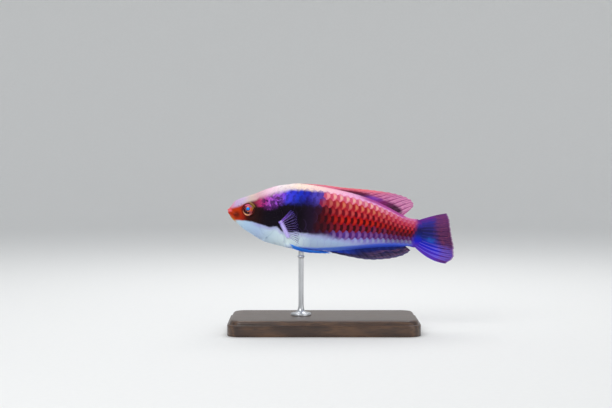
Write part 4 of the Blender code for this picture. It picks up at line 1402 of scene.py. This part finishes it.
def make_fin(name, place, rays, per_ray=20, rows=56, fork=0.15, second_fork=0.45, width=0.1,
             soft_from=0, thick=(0.55, 0.16), web=(0.2, 0.07), dip=0.03, pleat=0.0, joints=16, seed=1):
    """A closed sheet with rays. Thick and web are the sheet's thickness on a ray and between rays
    at root and tip, in millimetres. Width is a share of the step between rays, dip is how far
    the edge sinks between two tips, as a share of the ray, and pleat folds the web like a fan."""
    rng = np.random.default_rng(seed)
    v, u = np.meshgrid(
        np.linspace(0, 1, rows) ** 0.9, np.linspace(0, 1, (rays - 1) * per_ray + 1), indexing="ij"
    )
    count = u * (rays - 1)
    lengths = 1 - RAY_LUCK * rng.random(rays)
    reach = np.interp(count, np.arange(rays), lengths)
    hollow = dip * (0.5 - 0.5 * np.cos(2 * math.pi * count)) + 0.003 * np.sin(count * 13.0)
    points = place(u, v * (reach - hollow * v))
    normals = surface_normals(points)
    ridge = ray_ridge(u, v, rays, fork, second_fork, width, soft_from)
    joint = 1 + 0.14 * np.cos(2 * math.pi * joints * v + 0.6 * np.sin(count * 9)) * step(v, 0.2, 0.5)
    sheet = blend(web, v) + (blend(thick, v) * joint - blend(web, v)) * ridge
    sheet *= 1 - 0.5 * step(v, 0.96, 1.0)
    fold = pleat * np.cos(2 * math.pi * count) * np.sqrt(v)
    faces = [points + normals * (fold + half * sheet / 2)[..., None] for half in (1, -1)]
    maps = {"web": np.tile(np.stack([count, v], -1).reshape(-1, 2), (2, 1))}
    fields = {"ridge": np.tile(ridge.ravel(), 2)}
    flat = to_world(np.stack(faces).reshape(-1, 3))
    return make_mesh(name, flat, slab_faces(*u.shape), maps, fields, sharp=FIN_SHARP)


# %% [markdown]
# ## Colours of the fins
#
# The webs are stained skin, clear in the side fins and almost dense in the others, and the rays
# in them are paler and solid. Glass-like transmission would be truer but costs much light, so
# light passes through alpha, less of it near the root where the skin is thick. The colour runs
# from root to edge and along the fin, with small flecks between the forks.

# %% Fin finishes
DORSAL_STREAK, DORSAL_THREAD = (0.90, 0.36, 0.58), (0.14, 0.01, 0.08)
DORSAL_LINE, DORSAL_EDGE = (0.15, 0.008, 0.09), (1.0, 0.22, 0.26)
ANAL_FRONT, ANAL_LINE = (0.010, 0.05, 0.50), (0.26, 0.11, 0.20)
TAIL_PATCH, TAIL_FLECK, TAIL_RIM = (0.01, 0.16, 0.62), (0.36, 0.06, 0.11), (0.50, 0.34, 0.50)
TAIL_RAY, TAIL_RAY_LOW = ((0.05, 0.045, 0.40), (0.26, 0.06, 0.18)), (0.22, 0.16, 0.90)
PECTORAL_WEB, PECTORAL_LINE = ((0.40, 0.28, 0.82), (0.020, 0.010, 0.10)), (0.74, 0.62, 1.0)
PECTORAL_RAY, PECTORAL_LEAD = (
    ((0.56, 0.42, 1.0), (0.14, 0.075, 0.40)), ((0.36, 0.12, 0.90), (0.05, 0.03, 0.24)),
)
PELVIC_WEB, PELVIC_RAY = ((0.10, 0.36, 0.90), (0.010, 0.12, 0.72)), (0.04, 0.28, 0.95)
THREAD_TURN = 150.0


def dashes(count, out, across, along):
    """Fine broken lines that run with the rays."""
    place = count.node("ShaderNodeCombineXYZ", None, {0: count * across, 1: out * along})
    return cloud(place, 1.0, 5.0, 2.0)


def begin_fin(name):
    """A fin's material, its shader, and its sums: the ray counted along the fin, how far out
    from the root, the ridge, and the place in the fish's frame."""
    finish, shader, start = begin_finish(
        name, Coat_Weight=0.06, Coat_Roughness=0.15, Specular_IOR_Level=0.12
    )
    count, out, _ = split(start.node("ShaderNodeUVMap", {"uv_map": "web"}))
    ridge = start.node("ShaderNodeAttribute", {"attribute_name": "ridge"}, out="Fac")
    return finish, shader, count, out, ridge, in_frame(start)


def end_fin(finish, shader, colour, alpha, place, out):
    """Links the colour, the clearness and the fine grain of a fin."""
    threads = cloud(place, 5.0, 9.0, 3.0)
    feed(
        shader, Base_Color=colour, Alpha=alpha, Roughness=0.34 + threads * 0.16,
        Normal=bumped(threads * 0.6 + sine(out * THREAD_TURN) * 0.2, 0.03, 0.5),
    )
    return finish


# %% Long fins


def dorsal_finish():
    """Pink to crimson in front, mauve with dark threads behind, dark purple low in the middle."""
    finish, shader, count, out, ridge, place = begin_fin("dorsal_fin")
    share = count / (DORSAL_RAYS - 1)
    web = colours_along(share, [
        (0.05, (0.88, 0.32, 0.50)), (0.30, (0.80, 0.12, 0.24)), (0.50, (0.62, 0.05, 0.10)),
        (0.62, (0.56, 0.08, 0.26)), (0.80, (0.62, 0.16, 0.40)), (1.0, (0.56, 0.15, 0.36)),
    ])
    dark = colours_along(share, [
        (0.40, (0.12, 0.003, 0.02)), (0.58, (0.06, 0.003, 0.05)), (0.66, (0.22, 0.05, 0.50)),
        (0.76, (0.20, 0.001, 0.12)), (0.86, (0.03, 0.0, 0.02)),
    ])
    streak = soft(dashes(count, out, 3.4, 7.0), 0.48, 0.62)
    web = tint(streak * 0.55, web, DORSAL_STREAK)
    thread = soft(dashes(count, out, 6.0, 5.0), 0.56, 0.66) * soft(share, 0.45, 0.6)
    web = tint(thread * 0.85, web, DORSAL_THREAD)
    turn = count * (4 * math.pi) + (cloud(place, 0.5, 3.0) - 0.5) * 2.0
    lines = soft(sine(turn), 0.2, 0.9) * soft(share, 0.48, 0.62)
    web = tint(lines * 0.7, web, DORSAL_LINE)
    edge = soft(out, 0.62, 0.90) * (1 - soft(share, 0.5, 0.72))
    web = tint(edge * 0.9, web, DORSAL_EDGE)
    height = out * (soft(share, 0.52, 0.66) * 0.4 + 0.95) + (cloud(place, 0.5, 3.0) - 0.5) * 0.2
    low = (1 - soft(height, 0.40, 0.66)) * soft(share, 0.26, 0.44) * (1 - soft(share, 0.93, 0.98))
    ray = colours_along(share, [
        (0.1, (0.98, 0.44, 0.62)), (0.45, (0.98, 0.22, 0.28)), (0.7, (0.82, 0.34, 0.58)),
        (1.0, (0.88, 0.44, 0.66)),
    ])
    colour = tint(low * 0.92, tint(ridge * 0.6, web, ray), dark)
    alpha = 0.92 - soft(out, 0.5, 1.0) * 0.14 + ridge * 0.42
    return end_fin(finish, shader, colour, alpha, place, out)


def anal_finish():
    """Ink blue from the root, brighter in front, with mauve lines and a paler edge."""
    finish, shader, count, out, ridge, place = begin_fin("anal_fin")
    share = count / (ANAL_RAYS - 1)
    web = colours_along(out + (cloud(place, 0.9, 4.0) - 0.5) * 0.12, [
        (0.26, (0.003, 0.012, 0.15)), (0.40, (0.004, 0.006, 0.09)), (0.56, (0.016, 0.012, 0.055)),
        (0.86, (0.022, 0.015, 0.052)), (0.96, (0.06, 0.05, 0.15)),
    ])
    web = tint((1 - soft(share, 0.15, 0.4)) * soft(out, 0.75, 0.5) * 0.9, web, ANAL_FRONT)
    ray = colours_along(out, [
        (0.3, (0.006, 0.02, 0.22)), (0.7, (0.05, 0.035, 0.11)), (1.0, (0.2, 0.17, 0.32)),
    ])
    colour = tint(ridge * 0.5, web, ray)
    lines = soft(dashes(count, out, 0.5, 17.0), 0.50, 0.62)
    lines = lines * soft(out, 0.34, 0.5) * soft(share, 0.35, 0.6)
    colour = tint(lines * 0.6, colour, ANAL_LINE)
    alpha = 1.0 - soft(out, 0.7, 1.0) * 0.08 + ridge * 0.3
    return end_fin(finish, shader, colour, alpha, place, out)


def caudal_finish():
    """Ink blue at the root, royal blue in the lower lobe, and a mauve outer web with flecks."""
    finish, shader, count, out, ridge, place = begin_fin("caudal_fin")
    share = count / (CAUDAL_RAYS - 1) + (cloud(place, 0.35, 2.0) - 0.5) * 0.12
    inner = tail_inner(share)
    outer = colours_along(share, [
        (0.0, (0.15, 0.030, 0.20)), (0.4, (0.045, 0.004, 0.055)), (0.62, (0.032, 0.003, 0.065)),
        (0.80, (0.055, 0.015, 0.22)), (1.0, (0.10, 0.02, 0.20)),
    ])
    reach = out + (cloud(place, 0.7, 3.0) - 0.5) * 0.22 - soft(share, 0.55, 0.85) * 0.12
    web = tint(soft(reach, 0.42, 0.70), inner, outer)
    patch = 1 - soft(distance(share, reach, (0.58, 0.40), 0.5), 0.0, 0.10)
    web = tint(patch * 0.55, web, TAIL_PATCH)
    ray = tint(soft(reach, 0.46, 0.70), *TAIL_RAY)
    low = soft(share, 0.58, 0.74)
    ray = tint(low * (1 - soft(reach, 0.7, 1.0) * 0.5), ray, TAIL_RAY_LOW)
    fleck = soft(dashes(count, out, 7.0, 9.0), 0.54, 0.64) * soft(reach, 0.44, 0.6)
    colour = tint(fleck * 0.5, web, TAIL_FLECK)
    colour = tint(ridge * (0.5 + low * 0.3), colour, ray)
    colour = tint(soft(out, 0.955, 0.99) * 0.7, colour, TAIL_RIM)
    alpha = 1.0 - soft(reach, 0.6, 0.95) * 0.08 + ridge * 0.35
    return end_fin(finish, shader, colour, alpha, place, out)


# %% Paired fins


def pectoral_finish():
    """A clear violet web, brighter rays, and the brightest line along the root."""
    finish, shader, count, out, ridge, place = begin_fin("pectoral_fin")
    first = 1 - soft(count, 0.2, 2.4)
    web = tint(soft(out, 0.1, 0.34), *PECTORAL_WEB)
    ray = tint(soft(out, 0.15, 0.95), *PECTORAL_RAY)
    lead = tint(soft(out, 0.3, 0.95), *PECTORAL_LEAD)
    colour = tint(ridge * 0.85, tint(first * 0.7, web, lead), ray)
    colour = tint(1 - soft(out, 0.08, 0.20), colour, PECTORAL_LINE)
    alpha = 0.03 + (1 - soft(out, 0.0, 0.22)) * 0.6 + ridge * 0.7 + first * 0.6
    return end_fin(finish, shader, colour, alpha, place, out)


def pelvic_finish():
    """Azure at the root and along the rays, royal blue in the web."""
    finish, shader, _, out, ridge, place = begin_fin("pelvic_fin")
    web = tint(soft(out, 0.1, 0.6), *PELVIC_WEB)
    colour = tint(ridge * 0.7, web, PELVIC_RAY)
    alpha = 0.96 + ridge * 0.2 - soft(out, 0.8, 1.0) * 0.2
    return end_fin(finish, shader, colour, alpha, place, out)


# %% Make the fins
settle(
    make_fin("dorsal_fin_web", dorsal_place, DORSAL_RAYS, soft_from=9, pleat=0.08, seed=3),
    dorsal_finish(), "fin", "dorsal_fin",
)
settle(
    make_fin("anal_fin_web", anal_place, ANAL_RAYS, soft_from=2, dip=0.02, pleat=0.10, seed=4),
    anal_finish(), "blue_fin", "anal_fin",
)
settle(
    make_fin("caudal_fin_web", caudal_place, CAUDAL_RAYS, per_ray=30, rows=84, fork=0.12,
             second_fork=0.36, width=0.07, thick=(0.7, 0.13), dip=0.012, pleat=0.04, joints=26,
             seed=5),
    caudal_finish(), "tail_fin", "caudal_fin",
)
pectoral, pelvic = pectoral_finish(), pelvic_finish()
for side, word in ((-1, "left"), (1, "right")):
    settle(
        make_fin(f"pectoral_web_{word}", pectoral_place(side), PECTORAL_RAYS, fork=0.6,
                 second_fork=1.0, width=0.07, thick=(0.36, 0.1), web=(0.12, 0.05), dip=0.02,
                 pleat=0.04, seed=6),
        pectoral, "pale_fin", f"pectoral_fin_{word}",
    )
    settle(
        make_fin(f"pelvic_web_{word}", pelvic_place(side), PELVIC_RAYS, per_ray=14, dip=0.04,
                 pleat=0.10, seed=7),
        pelvic, "blue_fin", f"pelvic_fin_{word}",
    )

# %% [markdown]
# ## Eyes
#
# A fish's eye has rings of colour round a dark pupil, under a clear dome that is flush with the
# head. A painted ball would look flat, so the iris is a shallow dish turned about the eye's axis
# with the pupil set in it, and the dome over it is a clear shell that takes the light.

# %% Turned shapes
PUPIL_RISE, RISE_FADE = 0.3, (0.9, 2.3)
TURNED_SHARP = 50.0


def turned_rings(profile, sides, raised=0.0):
    """Rings about an axis from a profile of (radius, height) pairs. Raised moves what is near the
    axis up, as where an eye looks a little upward."""
    turn = np.linspace(0, 2 * math.pi, sides, endpoint=False)
    radius, height = (np.array(column)[:, None] for column in zip(*profile))
    up = radius * np.sin(turn) + raised * (1 - step(radius, *RISE_FADE))
    return np.stack(np.broadcast_arrays(radius * np.cos(turn), up, height), -1)


def turned(name, profile, matrix, sides=96, raised=0.0):
    """A closed shape from a profile that starts and ends near the axis."""
    points, faces = capped(turned_rings(profile, sides, raised))
    return make_mesh(name, to_world(points, matrix), faces, sharp=TURNED_SHARP)


def smooth_profile(points, count=60):
    """Evenly spaced places on a smooth line through a few (radius, height) points."""
    table = [(i, *point) for i, point in enumerate(points)]
    places = np.linspace(0, len(points) - 1, count)
    return list(zip(smooth(table, 1, places), smooth(table, 2, places)))


# %% Iris and dome
IRIS_PROFILE = (
    (0.02, 0.30), (0.5, 0.28), (0.92, 0.20), (1.02, 0.34), (1.15, 0.42), (1.6, 0.32), (2.1, 0.12),
    (2.48, -0.06), (2.66, -0.22), (2.70, -0.8), (2.3, -1.5), (1.2, -1.9), (0.02, -2.0),
)
IRIS_SHADE, PUPIL_GLINT = (0.16, 0.003, 0.03), (0.74, 0.66, 0.95)
DOME_HEIGHT, DOME_RADIUS, DOME_SINK, DOME_WALL, DOME_STEPS = 1.3, 2.72, 0.42, 0.10, 24


def dome_profile():
    """The outer face of the clear dome from its crown to its foot, and back along its inner face."""
    lean = np.linspace(0.01, math.pi / 2, DOME_STEPS)
    outer = [(DOME_RADIUS * math.sin(a), DOME_HEIGHT * math.cos(a) - DOME_SINK) for a in lean]
    reach, rise = DOME_RADIUS - DOME_WALL, DOME_HEIGHT - DOME_WALL
    inner = [(reach * math.sin(a), rise * math.cos(a) - DOME_SINK) for a in lean[::-1]]
    return outer + inner


# Each part of the iris: its direction in degrees, counted from the tail's side up over the top,
# its half width in degrees, how far from the middle it begins and ends, and its colour.
# The lilac part at 66 degrees is a painted highlight on the upper ring.
IRIS_PARTS = (
    (180.0, 95.0, 1.2, 2.7, (0.13, 0.001, 0.004)), (215.0, 70.0, 1.15, 2.0, (0.03, 0.0, 0.005)),
    (-22.0, 75.0, 1.25, 2.1, (0.42, 0.05, 0.06)), (272.0, 65.0, 1.2, 1.9, (0.004, 0.0, 0.001)),
    (24.0, 48.0, 1.25, 2.1, (0.56, 0.10, 0.010)), (66.0, 34.0, 1.45, 2.2, (0.32, 0.09, 0.42)),
    (108.0, 38.0, 1.6, 2.4, (0.82, 0.13, 0.26)), (46.0, 45.0, 2.1, 2.7, (0.34, 0.19, 0.04)),
)


def iris_finish(name, matrix, side):
    """Orange, maroon and olive gold round a pupil with a blue gleam. Side mirrors the parts."""
    finish, shader, start = begin_finish(name, Specular_IOR_Level=0.12)
    place = in_frame(start, matrix)
    x, y, _ = split(place)
    x = x * float(-side)
    away = distance(x, y, (0.0, 0.0))
    ring = distance(x, y - PUPIL_RISE * (1 - soft(away, *RISE_FADE)), (0.0, 0.0))
    streaks = cloud(place, 2.2, 3.0, 3.0)
    rings = colours_along((ring + (streaks - 0.5) * 0.16) / 3.0, [
        (0.300, (0.002, 0.002, 0.004)), (0.325, (0.94, 0.40, 0.24)), (0.375, (0.90, 0.16, 0.05)),
        (0.460, (0.78, 0.07, 0.02)), (0.540, (0.16, 0.004, 0.006)), (0.68, (0.035, 0.002, 0.008)),
        (0.86, (0.05, 0.003, 0.006)), (0.89, (0.03, 0.002, 0.003)),
    ])
    shade = soft(x + y * 0.4, -0.15, -1.0) * soft(ring, 0.85, 1.05)
    colour = tint(shade * 0.75, rings, IRIS_SHADE)
    for degrees, wide, near, far, paint in IRIS_PARTS:
        turn = math.radians(degrees)
        toward = (x * math.cos(turn) + y * math.sin(turn)) / (away + 0.01)
        part = soft(toward + (streaks - 0.5) * 0.16, math.cos(math.radians(wide)), 0.98)
        band = soft(ring, near - 0.15, near + 0.2) * soft(away, far + 0.2, far - 0.2)
        colour = tint(part * band * 0.95, colour, paint)
    arc = soft(away, 1.95, 2.2) * soft(away, 2.75, 2.6) * soft(y + (x + 0.3) * 0.12, -0.7, -1.3)
    gold = colours_along(x / 6.0 + 0.5, [
        (0.2, (0.50, 0.16, 0.06)), (0.36, (0.95, 0.48, 0.28)), (0.50, (0.90, 0.46, 0.16)),
        (0.66, (0.62, 0.24, 0.24)), (0.80, (0.36, 0.08, 0.08)),
    ])
    colour = tint(arc * 0.9, colour, gold)
    # Painted reflection: a blue gleam painted over the pupil.
    depth = distance(x, y, (-0.05, PUPIL_RISE + 0.05), 1.3)
    blue = colours_along(depth, [
        (0.2, (0.0, 0.36, 1.0)), (0.6, (0.0, 0.20, 0.95)), (0.9, (0.0, 0.05, 0.50)),
    ])
    colour = tint(1 - soft(depth, 0.70, 0.92), colour, blue)
    # Painted highlight: a lilac-white glint just above the pupil.
    painted_glint = 1 - soft(distance(x, y, (-0.15, PUPIL_RISE + 0.78), 1.3), 0.12, 0.42)
    colour = tint(painted_glint * 0.9, colour, PUPIL_GLINT)
    feed(
        shader, Base_Color=colour, Roughness=0.22 + streaks * 0.2,
        Normal=bumped(streaks, 0.05, 0.4),
    )
    return finish


def dome_finish():
    """Clear and very glossy, with a trace of haze."""
    finish, shader, start = begin_finish(
        "clear_dome", Base_Color=(0.20, 0.26, 0.34, 1.0), Coat_Weight=0.15, Coat_Roughness=0.02,
        Specular_IOR_Level=0.3,
    )
    haze = cloud(in_frame(start), 1.2, 2.0)
    feed(shader, Alpha=0.01 + haze * 0.02, Roughness=0.02 + haze * 0.02)
    return finish


clear = dome_finish()
for side, word in ((-1, "left"), (1, "right")):
    socket = FISH @ eye_frame(side)
    iris = turned(f"iris_{word}", smooth_profile(IRIS_PROFILE), socket, raised=PUPIL_RISE)
    settle(iris, iris_finish(f"iris_{word}", socket, side), "eye", f"eye_{word}")
    settle(turned(f"eye_dome_{word}", dome_profile(), socket), clear, "eye")

# %% [markdown]
# ## Stand
#
# The fish swims on a steel rod from a dark wooden base. The base is a block with round corners and
# a moulded top edge: its outline is offset inward level by level, as a router would cut it. The
# rod is turned, with a flared foot and a slim collar under the belly.

# %% Base of the stand
BASE_LENGTH, BASE_WIDTH, BASE_HEIGHT, BASE_CORNER = 84.0, 44.0, 7.0, 6.0
BASE_LEVELS = (
    (0.45, 0.0), (0.10, 0.12), (0.0, 0.4), (0.0, 4.6), (0.06, 4.85), (0.35, 5.0), (0.85, 5.05),
    (0.95, 5.15), (1.0, 5.45), (1.12, 5.95), (1.4, 6.4), (1.85, 6.75), (2.4, 6.94), (3.0, 7.0),
)
CORNER_STEPS, CORNER_EASE = 14, 0.6
TOP_SHARES, UNDER_SHARE = (0.7, 0.4, 0.1), 0.1
BASE_SHARP = 38.0
PORE, OXIDE, BARE_STEEL = (0.014, 0.006, 0.004), (0.50, 0.51, 0.53), (0.66, 0.67, 0.69)


def base_outline(inset):
    """The block's outline seen from above, drawn in by an inset, with round corners."""
    corner = BASE_CORNER - inset * CORNER_EASE
    half = (BASE_LENGTH / 2 - inset - corner, BASE_WIDTH / 2 - inset - corner)
    points = []
    for quarter, (sx, sy) in enumerate(((1, 1), (-1, 1), (-1, -1), (1, -1))):
        for turn in np.linspace(0, math.pi / 2, CORNER_STEPS):
            angle = turn + quarter * math.pi / 2
            x = sx * half[0] + corner * math.cos(angle)
            points.append((x, sy * half[1] + corner * math.sin(angle)))
    return points


def make_base():
    """Outlines stacked level by level, with smaller ones on the top and under the block."""
    rings = [[(*point, height) for point in base_outline(inset)] for inset, height in BASE_LEVELS]
    top = np.array(rings[-1])
    for share in TOP_SHARES:
        rings.append([(x * share, y * share, z) for x, y, z in top])
    under = np.array(rings[0])
    rings.insert(0, [(x * UNDER_SHARE, y * UNDER_SHARE, z) for x, y, z in under])
    rings = np.array(rings)
    points, faces = capped(rings)
    return make_mesh("stand_base_moulded", points * MM, faces, sharp=BASE_SHARP)


def stretched(start, scale):
    """The point being shaded, in metres, with a count of lumps to the metre for each axis."""
    here = start.node("ShaderNodeTexCoord", out="Object")
    return start.node("ShaderNodeMapping", None, {"Vector": here, "Scale": scale})


def wood_finish():
    """Dark walnut under satin varnish: long growth rings, pores along the grain, and warm light."""
    finish, shader, start = begin_finish("walnut", Coat_Weight=0.35, Coat_Roughness=0.18)
    warp = stretched(start, (14.0, 60.0, 60.0))
    drift = cloud(warp, 1.0, 1.0, 3.0)
    rings = start.node(
        "ShaderNodeTexWave", {"wave_type": "BANDS", "bands_direction": "Y"},
        {"Vector": warp, "Scale": 1.4, "Distortion": 7.0, "Detail": 3.0, "Detail Scale": 1.2},
        out="Fac",
    )
    pores = cloud(stretched(start, (90.0, 700.0, 900.0)), 2.4, 2.0, 4.0)
    colour = colours_along(rings * 0.6 + drift * 0.4, [
        (0.15, (0.030, 0.013, 0.007)), (0.45, (0.070, 0.032, 0.016)), (0.62, (0.110, 0.052, 0.024)),
        (0.85, (0.050, 0.022, 0.011)),
    ])
    colour = tint(soft(pores, 0.50, 0.30) * 0.7, colour, PORE)
    feed(
        shader, Base_Color=colour, Roughness=0.32 + pores * 0.2,
        Normal=bumped(pores * 0.7 + rings * 0.3, 0.06, 0.35),
    )
    return finish


settle(make_base(), wood_finish(), "stand_wood", "stand_base")

# %% Rod of the stand
ROD_RADIUS, ROD_CLEAR, FOOT_CLEAR = 1.15, 0.35, 0.01
ROD_SIDES, SHAFT_RINGS = 72, 24
SHAFT_START, SHAFT_END = 6.0, -3.6
ROD_PROFILE = (
    (0.02, 0.0), (4.3, 0.0), (4.5, 0.12), (4.5, 0.75), (4.36, 1.0), (3.9, 1.14), (3.0, 1.28),
    (2.2, 1.62), (1.7, 2.15), (1.38, 2.9), (1.2, 3.9), (ROD_RADIUS, 5.0),
)
COLLAR_PROFILE = (
    (ROD_RADIUS, -3.2), (1.5, -3.0), (1.62, -2.6), (1.5, -2.2), (ROD_RADIUS, -2.0),
    (ROD_RADIUS, -0.6), (1.0, 0.0), (0.02, 0.0),
)


def make_rod():
    """The rod from its flared foot up to the belly, with a slim collar a little below its top."""
    belly = FISH @ Vector((ROD_STATION, 0, float(section(ROD_STATION)[1])))
    top, foot = float(belly.z) - ROD_CLEAR, BASE_HEIGHT + FOOT_CLEAR
    shaft = np.linspace(foot + SHAFT_START, top + SHAFT_END, SHAFT_RINGS)
    profile = [(radius, foot + height) for radius, height in ROD_PROFILE]
    profile += [(ROD_RADIUS, height) for height in shaft]
    profile += [(radius, top + height) for radius, height in COLLAR_PROFILE]
    axis = Matrix.Translation((-ROD_FORWARD, 0, 0))
    return turned("stand_rod_turned", profile, axis, ROD_SIDES)


def steel_finish():
    """Brushed steel: fine turning lines round the rod, and faint smears."""
    finish, shader, start = begin_finish(
        "brushed_steel", Metallic=1.0, Base_Color=(0.58, 0.59, 0.61, 1.0)
    )
    brushed = cloud(stretched(start, (150.0, 150.0, 9000.0)), 1.0, 1.0, 2.0)
    smears = cloud(in_frame(start), 0.25, 3.0)
    colour = tint(smears, OXIDE, BARE_STEEL)
    feed(
        shader, Base_Color=colour, Roughness=0.20 + brushed * 0.18 + smears * 0.06,
        Normal=bumped(brushed, 0.02, 0.25),
    )
    return finish


settle(make_rod(), steel_finish(), "stand_steel", "stand_rod")

# %% [markdown]
# ## Floor
#
# The stand needs a ground to throw its shadow on. A plain sheet would end in a hard horizon, so
# the floor is a disc of pale paper that bends up into a wall on all sides, turned about the middle
# like the rod. It belongs to the studio and not to the model, which is what staging it says.

# %% Floor
FLOOR_RADIUS, BEND_RADIUS, WALL_HEIGHT, FLOOR_SIDES = 800.0, 300.0, 700.0, 96
FLOOR_RINGS, BEND_STEPS = (1.0, 300.0, 600.0), 25
PAPER = (0.82, 0.82, 0.81), (0.86, 0.86, 0.85)


def make_floor():
    """A pale floor that bends up all round into a wall, so that no view shows a horizon."""
    bend = np.linspace(0, math.pi / 2, BEND_STEPS)
    profile = [(radius, 0.0) for radius in FLOOR_RINGS]
    profile += [
        (FLOOR_RADIUS + BEND_RADIUS * math.sin(a), BEND_RADIUS * (1 - math.cos(a))) for a in bend
    ]
    profile.append((FLOOR_RADIUS + BEND_RADIUS, WALL_HEIGHT))
    points = turned_rings(profile, FLOOR_SIDES).reshape(-1, 3) * MM
    mesh = bpy.data.meshes.new("floor")
    faces = grid_faces(len(profile), FLOOR_SIDES, wrap=True)
    mesh.from_pydata(points.tolist(), [], [list(range(FLOOR_SIDES)), *faces.tolist()])
    mesh.shade_smooth()
    sheet = add_object("floor", mesh)
    finish, shader, start = begin_finish("paper", Specular_IOR_Level=0.2)
    fibres = cloud(start.node("ShaderNodeTexCoord", out="Object"), 400.0, 1.0, 3.0)
    colour = tint(fibres, *PAPER)
    feed(shader, Base_Color=colour, Roughness=0.75 + fibres * 0.15)
    sheet.data.materials.append(finish)
    sheet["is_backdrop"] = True


make_floor()
print("floor across, mm:", 2 * (FLOOR_RADIUS + BEND_RADIUS))

# %% [markdown]
# ## Size
#
# The dressed model has to keep the size of the imported one, so both boxes are set side by side.

# %% Both boxes side by side
sizes = {
    "cad": [list(corner) for corner in cad_box],
    "visual": [list(corner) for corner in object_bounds()],
}
print("dressed model, mm:", [round(1000 * (b - a), 1) for a, b in zip(*sizes["visual"])])
